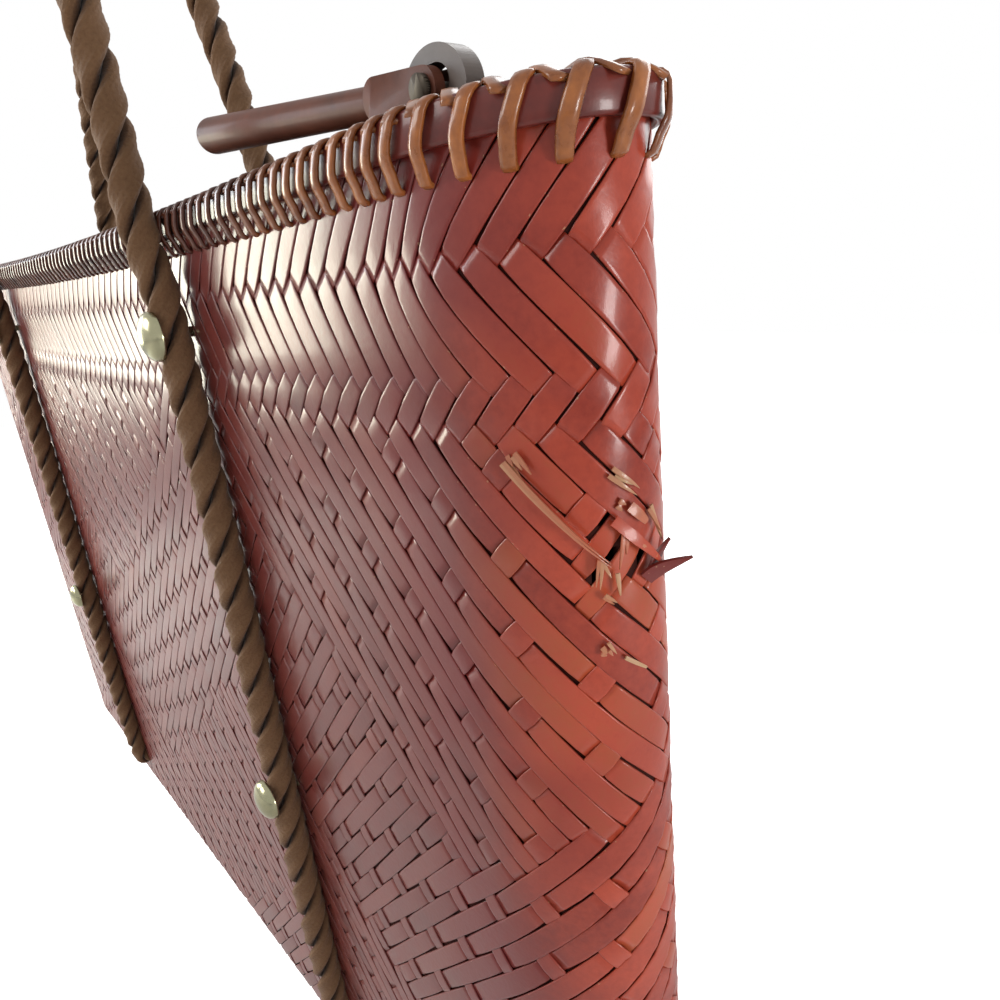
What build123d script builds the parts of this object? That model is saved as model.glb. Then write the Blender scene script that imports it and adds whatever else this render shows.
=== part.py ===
from build123d import *
import math
import os

# A thin box bag of bias-woven bamboo, with rounded ends, a lashed rim, two rope handles and a swing bar closure.
# Millimetres. X runs along the bag, Y through its thickness with the front face towards -Y, Z up from the base.

# Body
bag_length = 407.0
bag_thickness = 30.0
bag_height = 245.0  # top of the rim at mid length
rim_rise = 4.0  # how much higher the rim is at the two ends
tip_radius = 10.5  # plan radius at the very end
shoulder_radius = 34.0  # plan radius between the end and the flat face
wall_thickness = 1.6
weave_depth = 0.7  # how far the strips stand out of the wall
base_thickness = 2.2
base_edge_radius = 6.5
base_inner_radius = 4.0

# Weave, row heights from the rim down, each row leaning the other way from the one above it
row_heights = [22.0, 14.0, 7.5, 46.0, 46.0, 46.0, 46.0]
row_lean = 30.0  # degrees from upright
column_pitch = 20.0
band_width = 16.0  # width of one ridge, measured along the wall
end_columns = 3  # ridges round each end
plain_margin = 14.0  # plain wall under the lowest row
plain_top = 3.0  # plain wall between the top row and the hoop

# Broken strips near one end
break_gap_width = 2.2
break_gap_height = 4.2
break_heights = [194.0, 188.0, 189.5]
break_places = [26.0, 22.0, 31.5]  # along the wall, from the end of the front face

# Rim
hoop_height = 5.6
outer_hoop_thickness = 1.4
inner_hoop_thickness = 2.8
lashing_thickness = 0.9
stitch_groove_depth = 0.5
stitch_groove_width = 2.0
stitch_lean = 24.0
stitch_count = 56

# Rope handles
rope_diameter = 7.0
rope_wall_gap = 0.1
rope_hole_gap = 0.35
rope_exit_height = 13.5
rope_turn_run = 6.6  # length of the slanted run where a leg turns in through the wall
front_leg_spacing = 194.0
back_leg_spacing = 153.0
rope_lift_low = 16.0  # below the rim, where a leg starts to lift off the face to pass the lashing
rope_lift_high = 6.6
back_lift_inset = 1.5  # how far in the back legs already lean there
arch_height = 116.0  # top of the front arch above the rim

# Points of the arches, as distance in from the leg and height above the rim
front_arch = [(0.0, 17.0), (2.5, 45.0), (12.0, 73.0), (31.0, 96.0), (60.0, 111.0)]
back_arch = [(5.7, 9.0), (14.4, 34.0), (24.5, 58.0), (34.0, 76.5), (48.5, 90.0), (66.5, 96.5)]

# Studs
stud_head_diameter = 10.4
stud_seat_gap = 0.1  # between a head and the rope
stud_head_height = 3.4
stud_dome = [(0.0, 1.0), (0.44, 0.93), (0.8, 0.62), (1.0, 0.0)]  # shares of the head's radius and height
stud_shank_diameter = 2.2
stud_clench_length = 1.2  # how far the shank comes through inside
upper_stud_drop = 23.5  # below the rim at mid length
lower_stud_height = 105.0

# Rope knots inside
knot_radius = 6.4
knot_length = 10.0
knot_bevel = 3.0
knot_gap = 0.05  # between the knot and the wall

# Closure
lug_end_distance = 26.5  # from the lug's middle to the bag's end
lug_thickness = 3.0
lug_radius = 5.2
lug_foot_height = 9.0
lug_offset = 2.8  # the foot's thickness between the rim and the standing plate
lug_eye_width = 5.2
lug_eye_height = 4.4
lug_plate_lap = 6.0  # how far the plate runs down behind the foot's top
pin_above_rim = 3.0
pin_diameter = 2.2
pin_clearance = 0.3
pin_head_diameter = 3.6
pin_head_thickness = 0.8
lever_length = 76.0  # pin to the rounded end
lever_end_radius = 3.3
lever_neck_radius = 2.3
lever_tilt = 5.5  # degrees above level at rest
fork_cheek_thickness = 1.6
fork_radius = 2.7
fork_gap = 0.3
fork_depth = 11.0
nail_diameter = 1.4
nail_head_diameter = 2.8
nail_head_thickness = 0.6
nail_plate_gap = 0.5  # between a nail's head and the plate
nail_edge = 2.3  # from a nail to the foot's end
nail_length = 2.0  # length in the hoop


# The plan outline is flat faces, large shoulder arcs and small tip arcs, all tangent and concentric at any inset.
half_length = bag_length / 2
half_thickness = bag_thickness / 2
tip_centre = half_length - tip_radius
shoulder_offset = shoulder_radius - half_thickness
shoulder_reach = math.sqrt((shoulder_radius - tip_radius) ** 2 - shoulder_offset**2)
shoulder_centre = tip_centre - shoulder_reach
tip_half_angle = math.atan2(shoulder_offset, shoulder_reach)
shoulder_angle = math.pi / 2 - tip_half_angle


def outline(inset):
    """Face of the plan outline, moved in from the outer surface by inset."""
    tip = tip_radius - inset
    shoulder = shoulder_radius - inset
    half = half_thickness - inset
    joint_x = tip_centre + tip * math.cos(tip_half_angle)
    joint_y = tip * math.sin(tip_half_angle)
    mid = tip_half_angle + shoulder_angle / 2
    mid_x = shoulder_centre + shoulder * math.cos(mid)
    mid_y = shoulder * math.sin(mid) - shoulder_offset
    with BuildSketch() as sketch:
        with BuildLine():
            Line((-shoulder_centre, -half), (shoulder_centre, -half))
            ThreePointArc((shoulder_centre, -half), (mid_x, -mid_y), (joint_x, -joint_y))
            ThreePointArc((joint_x, -joint_y), (half_length - inset, 0), (joint_x, joint_y))
            ThreePointArc((joint_x, joint_y), (mid_x, mid_y), (shoulder_centre, half))
            Line((shoulder_centre, half), (-shoulder_centre, half))
            ThreePointArc((-shoulder_centre, half), (-mid_x, mid_y), (-joint_x, joint_y))
            ThreePointArc((-joint_x, joint_y), (inset - half_length, 0), (-joint_x, -joint_y))
            ThreePointArc((-joint_x, -joint_y), (-mid_x, -mid_y), (-shoulder_centre, -half))
        make_face()
    return sketch.sketch


def column(inset, low, high):
    """Upright solid of the outline between two heights."""
    return extrude(outline(inset).moved(Location((0, 0, low))), high - low)


# Rim levels follow one large circle in the X-Z plane, so any two of them are concentric.
rim_radius = (half_length**2 + rim_rise**2) / (2 * rim_rise)
above_all = bag_height + rim_rise + 20.0


def rim_level(x):
    """Height of the rim's top at a place along the bag."""
    return bag_height + rim_radius - math.sqrt(rim_radius**2 - x**2)


def above_rim(drop):
    """Solid that fills everything above the rim's top, lowered by drop."""
    roll = Cylinder(rim_radius + drop, bag_thickness * 3, rotation=(90, 0, 0))
    return roll.moved(Location((0, 0, bag_height + rim_radius)))


def rim_ring(outer_inset, inner_inset, top_drop, bottom_drop):
    """Ring between two insets and between two levels under the rim's top."""
    low = bag_height - bottom_drop - 2.0
    ring = column(outer_inset, low, above_all) - column(inner_inset, low, above_all)
    band = above_rim(bottom_drop) - above_rim(top_drop)
    return ring & band


# Arc length round the outline starts at the middle of the front face and goes towards +X.
face_run = shoulder_centre
shoulder_run = shoulder_radius * shoulder_angle
tip_run = 2 * tip_radius * tip_half_angle
half_run = 2 * face_run + 2 * shoulder_run + tip_run


def wall_place(run):
    """Point and outward direction on the outer surface, for a run along the front half from its middle."""
    if run < face_run:
        return run, -half_thickness, -math.pi / 2
    run -= face_run
    if run < shoulder_run:
        turn = -math.pi / 2 + run / shoulder_radius
        x = shoulder_centre + shoulder_radius * math.cos(turn)
        return x, shoulder_offset + shoulder_radius * math.sin(turn), turn
    run -= shoulder_run
    if run < tip_run:
        turn = -tip_half_angle + run / tip_radius
        return tip_centre + tip_radius * math.cos(turn), tip_radius * math.sin(turn), turn
    run -= tip_run
    if run < shoulder_run:
        turn = tip_half_angle + run / shoulder_radius
        x = shoulder_centre + shoulder_radius * math.cos(turn)
        return x, shoulder_radius * math.sin(turn) - shoulder_offset, turn
    run -= shoulder_run
    return shoulder_centre - run, half_thickness, math.pi / 2


def wall_plane(run, height):
    """Plane on the wall: its X goes along the wall, its Y is up and its Z points out."""
    if run > half_run:
        x, y, turn = wall_place(run - half_run)
        x, y, turn = -x, -y, turn + math.pi
    else:
        x, y, turn = wall_place(run)
    out = Vector(math.cos(turn), math.sin(turn), 0)
    along = Vector(-math.sin(turn), math.cos(turn), 0)
    return Plane(origin=(x, y, height), x_dir=along, z_dir=out)


def fused(solids):
    """One shape from many that meet or overlap."""
    first = solids[0]
    return first.fuse(*solids[1:])


# Row boundaries from the top down, with the sideways shift of the strips at each.
def weave_rows():
    level = bag_height + rim_rise
    shift = 0.0
    side = 1
    rows = [(level, shift)]
    for height in row_heights:
        level -= height
        shift += side * height * math.tan(math.radians(row_lean))
        side = -side
        rows.append((level, shift))
    return rows


def face_ridge(x):
    """Zigzag prism right through the bag, for one ridge on the flat faces."""
    rows = weave_rows()
    left = [(x + shift - band_width / 2, level) for level, shift in rows]
    right = [(x + shift + band_width / 2, level) for level, shift in reversed(rows)]
    prism = extrude(Plane.XZ * make_face(Polyline(*left, *right, close=True)), bag_thickness * 2, both=True)
    return prism


def end_ridge_piece(run, top, bottom):
    """Slanted slab on a rounded end, between two row boundaries."""
    level = (top[0] + bottom[0]) / 2
    shift = (top[1] + bottom[1]) / 2
    half_rise = (top[0] - bottom[0]) / 2
    half_shift = (top[1] - bottom[1]) / 2
    half_band = band_width / 2
    corners = [
        (half_shift - half_band, half_rise),
        (half_shift + half_band, half_rise),
        (-half_shift + half_band, -half_rise),
        (-half_shift - half_band, -half_rise),
    ]
    plane = wall_plane(run + shift, level)
    sketch = plane * make_face(Polyline(*corners, close=True))
    return extrude(sketch, amount=2.0, dir=plane.z_dir) + extrude(sketch, amount=5.0, dir=-plane.z_dir)


def split_rows():
    """Row boundaries for the ends, where the tall rows are halved so that each slab follows the curve."""
    rows = weave_rows()
    out = [rows[0]]
    for upper, lower in zip(rows, rows[1:]):
        if upper[0] - lower[0] > 20.0:
            out.append(((upper[0] + lower[0]) / 2, (upper[1] + lower[1]) / 2))
        out.append(lower)
    return out


def weave_skin(inset):
    """Ridges on the whole wall, from the outer surface in to inset."""
    low = base_edge_radius + plain_margin
    high = bag_height - hoop_height
    ring = column(0, low, high) - column(inset, low, high)
    count = int(2 * face_run // column_pitch)
    places = [(k - (count - 1) / 2) * column_pitch for k in range(count)]
    faces = ring & fused([face_ridge(x) for x in places])
    end_run = half_run - 2 * face_run
    rows = split_rows()
    slabs = []
    for end in range(2):
        start = face_run + end * half_run
        for k in range(end_columns):
            run = start + end_run * (k + 0.5) / end_columns
            slabs += [end_ridge_piece(run, top, bottom) for top, bottom in zip(rows, rows[1:])]
    ends = ring & fused(slabs)
    return faces, ends


# The four legs: which face, which end, and where along the bag.
leg_spacings = {"front": front_leg_spacing, "back": back_leg_spacing}
lift_insets = {"front": 0.0, "back": back_lift_inset}
arches = {"front": front_arch, "back": back_arch}
face_signs = {"front": -1, "back": 1}
end_signs = {"left": -1, "right": 1}
rope_radius = rope_diameter / 2
rope_line = half_thickness + rope_wall_gap + rope_radius  # distance of a rope's centre line from mid thickness
rope_rim_line = rope_line + outer_hoop_thickness + lashing_thickness  # the same, in front of the lashing
inner_face = half_thickness - weave_depth - wall_thickness
stud_heights = {"upper": bag_height - upper_stud_drop, "lower": lower_stud_height}


def leg_x(face, end):
    """Place of a rope leg along the bag."""
    return end_signs[end] * leg_spacings[face] / 2


def rope_points(face):
    """Route of a rope handle, from one knot over the arch to the other."""
    side = face_signs[face]
    x = leg_spacings[face] / 2
    turn = rope_turn_run / math.sqrt(2)
    leg = [
        (x, side * (rope_line - turn - rope_turn_run), rope_exit_height),
        (x, side * (rope_line - turn), rope_exit_height),
        (x, side * rope_line, rope_exit_height + turn),
        (x, side * rope_line, bag_height - rope_lift_low),
        (x - lift_insets[face], side * rope_rim_line, bag_height - rope_lift_high),
    ]
    right = leg + [(x - inward, side * rope_rim_line, bag_height + up) for inward, up in arches[face]]
    top = [(0, side * rope_rim_line, bag_height + arch_height)] if face == "front" else []
    left = [(-px, py, pz) for px, py, pz in reversed(right)]
    return right + top + left


def corner_radii(points):
    """Largest tangent arc at each corner of a route: 0.45 of its shorter run over the tangent of half the turn."""
    radii = []
    for before, here, after in zip(points, points[1:], points[2:]):
        first = Vector(*here) - Vector(*before)
        second = Vector(*after) - Vector(*here)
        half_turn = math.radians(first.get_angle(second) / 2)
        radii.append(0.45 * min(first.length, second.length) / math.tan(half_turn))
    return radii


def tube(points, diameter):
    """Round tube along a route of straight runs and tangent arcs."""
    path = FilletPolyline(*points, radius=corner_radii(points))
    start = Plane(origin=path @ 0, z_dir=path % 0)
    return sweep(start * Circle(diameter / 2), path=path), path


def rope_exit(face, end, diameter):
    """The lowest stretch of a rope leg, as a tube of any diameter, for the hole that it leaves through."""
    points = rope_points(face)[:4]
    points[3] = (points[3][0], points[3][1], points[2][2] + rope_diameter)
    if end == "left":
        points = [(-x, y, z) for x, y, z in points]
    return tube(points, diameter)[0]


def stud_shank(face, end, height, reach):
    """Shank of a stud, from just under its head to its clenched end inside."""
    side = face_signs[face]
    outer = rope_line + rope_radius + stud_seat_gap
    length = outer - inner_face + reach
    middle = side * (outer - length / 2)
    shank = Cylinder(stud_shank_diameter / 2, length, rotation=(90, 0, 0))
    return shank.moved(Location((leg_x(face, end), middle, height)))


def all_legs():
    """Each leg as its face and its end."""
    return [(face, end) for face in face_signs for end in end_signs]


def make_wall():
    """Woven wall and base, with the ropes' holes, the studs' holes and the broken places."""
    core = column(weave_depth, 0, above_all)
    core = fillet(core.faces().sort_by(Axis.Z)[0].edges(), base_edge_radius)
    hollow = column(weave_depth + wall_thickness, base_thickness, above_all)
    hollow = fillet(hollow.faces().sort_by(Axis.Z)[0].edges(), base_inner_radius)
    faces, ends = weave_skin(weave_depth + wall_thickness / 2)
    seat = column(0, bag_height - hoop_height - plain_top, above_all) - column(wall_thickness, 0, above_all)
    wall = (core - hollow) + faces + ends + seat
    wall = wall - above_rim(lashing_thickness)
    for face, end in all_legs():
        wall = wall - rope_exit(face, end, rope_diameter + 2 * rope_hole_gap)
        for height in stud_heights.values():
            wall = wall - stud_shank(face, end, height, stud_clench_length)
    for place, height in zip(break_places, break_heights):
        run = face_run + place
        gap = Box(break_gap_width, break_gap_height, wall_thickness * 6, rotation=(0, 0, row_lean))
        wall = wall - wall_plane(run, height).location * gap
    return wall


def make_outer_hoop():
    """Hoop round the outside of the wall's top edge, under the lashing."""
    return rim_ring(-outer_hoop_thickness, 0, lashing_thickness, hoop_height)


def make_inner_hoop():
    """Hoop inside the wall's top edge, under the lashing, with the two nails' holes."""
    inset = weave_depth + wall_thickness
    hoop = rim_ring(inset, inset + inner_hoop_thickness, lashing_thickness, hoop_height)
    for side in (-1, 1):
        hoop = hoop - nail_shank(side)
    return hoop


def make_lashing():
    """Cane wound over both hoops: a thin channel turned down over the rim, with a groove between the stitches."""
    outside = -outer_hoop_thickness - lashing_thickness
    inside = weave_depth + wall_thickness + inner_hoop_thickness + lashing_thickness
    whole = rim_ring(outside, inside, 0, hoop_height)
    hoops = rim_ring(-outer_hoop_thickness, inside - lashing_thickness, lashing_thickness, hoop_height + 1)
    deep = stitch_groove_depth
    under = rim_ring(outside + deep, inside - deep, deep, hoop_height + 1)
    skin = whole - under
    slabs = []
    for k in range(stitch_count):
        run = (k + 0.5) * 2 * half_run / stitch_count
        plane = wall_plane(run, bag_height + rim_rise / 2 - hoop_height / 2)
        slab = Box(stitch_groove_width, hoop_height * 4, (inside - outside) * 1.3, rotation=(0, 0, stitch_lean))
        slabs.append(plane.offset(-(inside + outside) / 2).location * slab)
    lashing = (whole - hoops) - (skin & fused(slabs))
    for side in (-1, 1):
        lashing = lashing - nail_shank(side)
    return lashing


def make_rope(face):
    """One rope handle, holed where its four studs pass through."""
    rope, path = tube(rope_points(face), rope_diameter)
    share = rope.volume / (path.length * math.pi * rope_radius**2)
    print(face, "rope length", round(path.length, 1), "volume share", round(share, 4))
    print(face, "rope radii", [round(radius, 1) for radius in corner_radii(rope_points(face))])
    for end in end_signs:
        for height in stud_heights.values():
            rope = rope - stud_shank(face, end, height, stud_clench_length)
        rope = rope - rope_inside(face, end)
    return rope


def knot_start(face):
    """Signed distance from mid thickness to where a rope meets its knot."""
    return face_signs[face] * (inner_face - knot_gap)


def rope_inside(face, end):
    """Everything inside the knot's face, which the rope stops at."""
    block = Box(rope_diameter * 3, bag_thickness, rope_diameter * 3)
    y = knot_start(face) - face_signs[face] * bag_thickness / 2
    return block.moved(Location((leg_x(face, end), y, rope_exit_height)))


def make_stud(face, end, height):
    """Domed stud with its shank, driven through the rope and the wall."""
    radius = stud_head_diameter / 2
    dome = [(out * radius, up * stud_head_height) for out, up in stud_dome]
    head = revolve(Plane.XZ * make_face(Polyline((0, 0), *dome, close=True)), Axis.Z)
    side = face_signs[face]
    seat = side * (rope_line + rope_radius + stud_seat_gap)
    place = Plane(origin=(leg_x(face, end), seat, height), z_dir=(0, side, 0))
    return place.location * head + stud_shank(face, end, height, stud_clench_length)


def make_knot(face, end):
    """Knot that keeps a rope's end from pulling back through the wall."""
    side = face_signs[face]
    half = knot_length / 2
    body = Cylinder(knot_radius, knot_length, rotation=(90, 0, 0))
    body = chamfer(body.edges().filter_by(GeomType.CIRCLE), knot_bevel)
    return body.moved(Location((leg_x(face, end), knot_start(face) - side * half, rope_exit_height)))


# The closure stands inside the mouth, on the inner face of the front rim.
lug_x = half_length - lug_end_distance
lashing_inner_face = half_thickness - weave_depth - wall_thickness - inner_hoop_thickness - lashing_thickness
plate_front = -lashing_inner_face + lug_offset
plate_middle = plate_front + lug_thickness / 2
lug_level = rim_level(lug_x)
pin_level = lug_level + pin_above_rim
fork_width = lug_thickness + 2 * fork_gap + 2 * fork_cheek_thickness
nail_level = lug_level - lug_foot_height / 2
nail_spacing = 2 * lug_radius + nail_head_diameter + 2 * nail_plate_gap
lug_foot_width = nail_spacing + 2 * nail_edge


def along_y(shape, x, y, z):
    """A shape made round Z, turned to lie along Y with its top towards +Y."""
    return Plane(origin=(x, y, z), z_dir=(0, 1, 0), x_dir=(1, 0, 0)).location * shape


def nail_shank(side):
    """Shank of a lug nail, through the foot and the lashing into the inner hoop."""
    start = -lashing_inner_face - lashing_thickness - nail_length
    shank = Cylinder(nail_diameter / 2, plate_front - start, align=(Align.CENTER, Align.CENTER, Align.MIN))
    return along_y(shank, lug_x + side * nail_spacing / 2, start, nail_level)


def make_nail(side):
    """Small round-headed nail that holds the lug's foot."""
    head = Cylinder(nail_head_diameter / 2, nail_head_thickness, align=(Align.CENTER, Align.CENTER, Align.MIN))
    x = lug_x + side * nail_spacing / 2
    return along_y(head, x, plate_front, nail_level) + nail_shank(side)


def make_lug():
    """Arched plate with an open eye, standing over the rim from a foot on its inner face."""
    foot_top = pin_level - fork_radius - fork_gap
    foot_low = lug_level - lug_foot_height
    foot = Pos(lug_x, plate_front - lug_foot_width / 2, (foot_top + foot_low) / 2) * Box(
        lug_foot_width, lug_foot_width, foot_top - foot_low
    )
    inside = column(half_thickness - lashing_inner_face, foot_low - 1, foot_top + 1)
    plate_low = foot_top - lug_plate_lap
    disc = Cylinder(lug_radius, lug_thickness, rotation=(90, 0, 0)).moved(Location((lug_x, plate_middle, pin_level)))
    stem = Pos(lug_x, plate_middle, (pin_level + plate_low) / 2) * Box(
        2 * lug_radius, lug_thickness, pin_level - plate_low
    )
    eye_rise = lug_eye_height - pin_diameter - 2 * pin_clearance
    eye = extrude(Plane.XZ * SlotCenterToCenter(lug_eye_width - lug_eye_height + 0.001, lug_eye_height), 20, both=True)
    eye = eye.moved(Location((lug_x, 0, pin_level + eye_rise / 2)))
    plate = disc + stem - eye
    lug = (foot & inside) + plate
    for side in (-1, 1):
        lug = lug - nail_shank(side)
    return lug


def make_lever():
    """Tapered round bar with a rounded end and a forked foot that straddles the lug."""
    neck = fork_depth
    end = lever_length - lever_end_radius
    profile = make_face(
        Polyline((0, neck - 1), (lever_neck_radius, neck - 1), (lever_end_radius, end), (0, end), close=True)
    )
    bar = revolve(profile, Axis.Y) + Sphere(lever_end_radius).moved(Location((0, end, 0)))
    fork = extrude(Plane.XY * SlotCenterToCenter(neck, 2 * fork_radius, rotation=90), fork_width / 2, both=True)
    fork = fork.moved(Location((0, neck / 2, 0)))
    throat = Box(4 * fork_radius, fork_depth + fork_radius, lug_thickness + 2 * fork_gap)
    throat = throat.moved(Location((0, (fork_depth + fork_radius) / 2 - 2 * fork_radius, 0)))
    hole = Cylinder(pin_diameter / 2, fork_width * 2)
    lever = bar + fork - throat - hole
    place = Plane(origin=(lug_x, plate_middle, pin_level), x_dir=(0, 0, 1), z_dir=(0, -1, 0))
    turned = Location((0, 0, 0), (0, 0, -lever_tilt))
    return place.location * (turned * lever)


def make_pin():
    """Pin through the fork and the lug's eye, with a small head at each end."""
    length = fork_width
    shank = Cylinder(pin_diameter / 2, length)
    heads = Cylinder(pin_head_diameter / 2, pin_head_thickness)
    near = heads.moved(Location((0, 0, (length + pin_head_thickness) / 2)))
    far = heads.moved(Location((0, 0, -(length + pin_head_thickness) / 2)))
    return along_y(shank + near + far, lug_x, plate_middle, pin_level)


def model():
    """Every piece of the bag, by name."""
    parts = {
        "basket_wall": make_wall(),
        "outer_rim_hoop": make_outer_hoop(),
        "inner_rim_hoop": make_inner_hoop(),
        "rim_lashing": make_lashing(),
        "closure_lug": make_lug(),
        "closure_lever": make_lever(),
        "lever_pin": make_pin(),
    }
    for side, name in ((-1, "left"), (1, "right")):
        parts[f"lug_nail_{name}"] = make_nail(side)
    for face in face_signs:
        parts[f"{face}_rope_handle"] = make_rope(face)
    for face, end in all_legs():
        parts[f"{face}_{end}_rope_knot"] = make_knot(face, end)
        for level, height in stud_heights.items():
            parts[f"{face}_{end}_{level}_stud"] = make_stud(face, end, height)
    return parts


os.makedirs("parts", exist_ok=True)
for name, shape in model().items():
    export_step(shape, f"parts/{name}.step")
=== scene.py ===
"""Looks of a bamboo box bag: bias-woven walls, a lashed rim, two twisted rope handles, studs and a bar closure."""

import logging
import math
import random
from dataclasses import dataclass, replace
from enum import Enum
from typing import Any, Callable, Sequence

import bmesh
import bpy
from mathutils import Matrix, Vector
from mathutils.kdtree import KDTree


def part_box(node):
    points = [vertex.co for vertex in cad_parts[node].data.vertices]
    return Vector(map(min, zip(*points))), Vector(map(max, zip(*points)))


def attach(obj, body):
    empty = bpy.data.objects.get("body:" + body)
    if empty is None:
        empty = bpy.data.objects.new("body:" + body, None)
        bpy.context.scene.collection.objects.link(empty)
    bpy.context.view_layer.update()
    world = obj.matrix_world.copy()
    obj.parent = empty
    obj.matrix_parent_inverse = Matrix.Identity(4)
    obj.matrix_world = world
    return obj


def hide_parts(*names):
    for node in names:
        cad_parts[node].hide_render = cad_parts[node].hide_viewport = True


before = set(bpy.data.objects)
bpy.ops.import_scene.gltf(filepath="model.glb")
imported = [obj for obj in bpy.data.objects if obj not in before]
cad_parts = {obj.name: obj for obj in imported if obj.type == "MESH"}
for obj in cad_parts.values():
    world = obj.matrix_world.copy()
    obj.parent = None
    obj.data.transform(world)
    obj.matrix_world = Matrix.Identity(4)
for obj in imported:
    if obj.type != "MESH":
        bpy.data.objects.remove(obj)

log = logging.getLogger("basket_box_bag")
MM = 0.001
Colour = tuple[float, float, float]


class Lean(Enum):
    """Which way a strip rises along the wall, as the sign of its turn from upright."""

    RIGHT = -1
    LEFT = 1


class Face(Enum):
    """The bag's two flat faces, as the sign of their Y."""

    FRONT = -1
    BACK = 1


class Graph:
    """A node tree that is filled with one call for each node."""

    def __init__(self, tree: bpy.types.NodeTree) -> None:
        """Starts on an empty tree.

        Args:
            tree: the tree to fill.
        """
        self.tree = tree
        self.entry: bpy.types.Node | None = None
        self.exit: bpy.types.Node | None = None

    @classmethod
    def geometry(cls, name: str, inputs: Sequence[tuple[str, str]]) -> "Graph":
        """Starts a Geometry Nodes tree.

        Args:
            name: the tree's name.
            inputs: name and socket type of each input after the geometry.

        Returns:
            The graph, with its input and output nodes in place.
        """
        tree = bpy.data.node_groups.new(name, "GeometryNodeTree")
        tree.interface.new_socket("Geometry", in_out="INPUT", socket_type="NodeSocketGeometry")
        tree.interface.new_socket("Geometry", in_out="OUTPUT", socket_type="NodeSocketGeometry")
        for label, kind in inputs:
            tree.interface.new_socket(label, in_out="INPUT", socket_type=kind)
        return cls(tree).opened()

    @classmethod
    def effect(cls, name: str, inputs: Sequence[tuple[str, str, Any]],
               outputs: Sequence[tuple[str, str]]) -> "Graph":
        """Starts a shader group.

        Args:
            name: the group's name.
            inputs: name, socket type and default of each input.
            outputs: name and socket type of each output.

        Returns:
            The graph, with its input and output nodes in place.
        """
        tree = bpy.data.node_groups.new(name, "ShaderNodeTree")
        for label, kind, default in inputs:
            socket = tree.interface.new_socket(label, in_out="INPUT", socket_type=kind)
            socket.default_value = default
        for label, kind in outputs:
            tree.interface.new_socket(label, in_out="OUTPUT", socket_type=kind)
        return cls(tree).opened()

    def opened(self) -> "Graph":
        """Adds the tree's input and output nodes.

        Returns:
            The same graph.
        """
        self.entry = self.tree.nodes.new("NodeGroupInput")
        self.exit = self.tree.nodes.new("NodeGroupOutput")
        return self

    def add(self, kind: str, inputs: dict | None = None, **settings: Any) -> bpy.types.Node:
        """Adds a node.

        Args:
            kind: the node's type.
            inputs: socket name or number, and a value or the socket to link from.
            settings: the node's own properties.

        Returns:
            The new node.
        """
        node = self.tree.nodes.new(kind)
        for key, value in settings.items():
            setattr(node, key, value)
        for key, value in (inputs or {}).items():
            socket = node.inputs[key]
            if isinstance(value, bpy.types.NodeSocket):
                self.tree.links.new(value, socket)
            else:
                socket.default_value = value
        return node

    def math(self, operation: str, *values: Any) -> bpy.types.NodeSocket:
        """Adds a Math node on the given values and returns its result."""
        return self.add("ShaderNodeMath", dict(enumerate(values)), operation=operation).outputs[0]

    def vector(self, operation: str, *values: Any) -> bpy.types.NodeSocket:
        """Adds a Vector Math node on the given values and returns its vector."""
        return self.add("ShaderNodeVectorMath", dict(enumerate(values)), operation=operation).outputs[0]

    def scaled(self, vector: Any, factor: Any) -> bpy.types.NodeSocket:
        """A vector times a number."""
        return self.add("ShaderNodeVectorMath", {0: vector, "Scale": factor}, operation="SCALE").outputs[0]

    def xyz(self, x: Any = 0.0, y: Any = 0.0, z: Any = 0.0) -> bpy.types.NodeSocket:
        """A vector put together from three numbers."""
        return self.add("ShaderNodeCombineXYZ", {0: x, 1: y, 2: z}).outputs[0]

    def ranged(self, value: Any, low: float, high: float, out: tuple[float, float] = (0.0, 1.0),
               smooth: bool = False) -> bpy.types.NodeSocket:
        """Maps one range of a value onto another.

        Args:
            value: the socket to map.
            low: the value that gives the first result.
            high: the value that gives the second result.
            out: the two results.
            smooth: whether the change eases in and out.

        Returns:
            The result's socket.
        """
        sockets = {"Value": value, "From Min": low, "From Max": high, "To Min": out[0], "To Max": out[1]}
        kind = "SMOOTHSTEP" if smooth else "LINEAR"
        return self.add("ShaderNodeMapRange", sockets, interpolation_type=kind).outputs[0]

    def blend(self, factor: Any, first: Any, second: Any) -> bpy.types.NodeSocket:
        """Mixes two colours."""
        return self.add("ShaderNodeMix", {"Factor": factor, 6: first, 7: second}, data_type="RGBA").outputs[2]

    def attribute(self, name: str) -> bpy.types.NodeSocket:
        """A named number that the geometry carries, in a Geometry Nodes tree."""
        return self.add("GeometryNodeInputNamedAttribute", {"Name": name}, data_type="FLOAT").outputs[0]

    def finish(self, name: str, socket: bpy.types.NodeSocket) -> None:
        """Links a socket to one of the tree's outputs."""
        self.link(socket, self.exit, name)

    def link(self, socket: bpy.types.NodeSocket, node: bpy.types.Node, name: str) -> None:
        """Links a socket to a node's input."""
        self.tree.links.new(socket, node.inputs[name])

    def on(self, obj: bpy.types.Object, values: dict[str, Any]) -> bpy.types.Object:
        """Runs the tree on an object and keeps the result as its plain mesh.

        Args:
            obj: the object whose mesh goes in.
            values: input name and value.

        Returns:
            The same object, with the made mesh and no modifier.
        """
        modifier = obj.modifiers.new(self.tree.name, "NODES")
        modifier.node_group = self.tree
        for item in self.tree.interface.items_tree:
            if item.in_out == "INPUT" and item.name in values:
                modifier[item.identifier] = values[item.name]
        return plain(obj)


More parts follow.
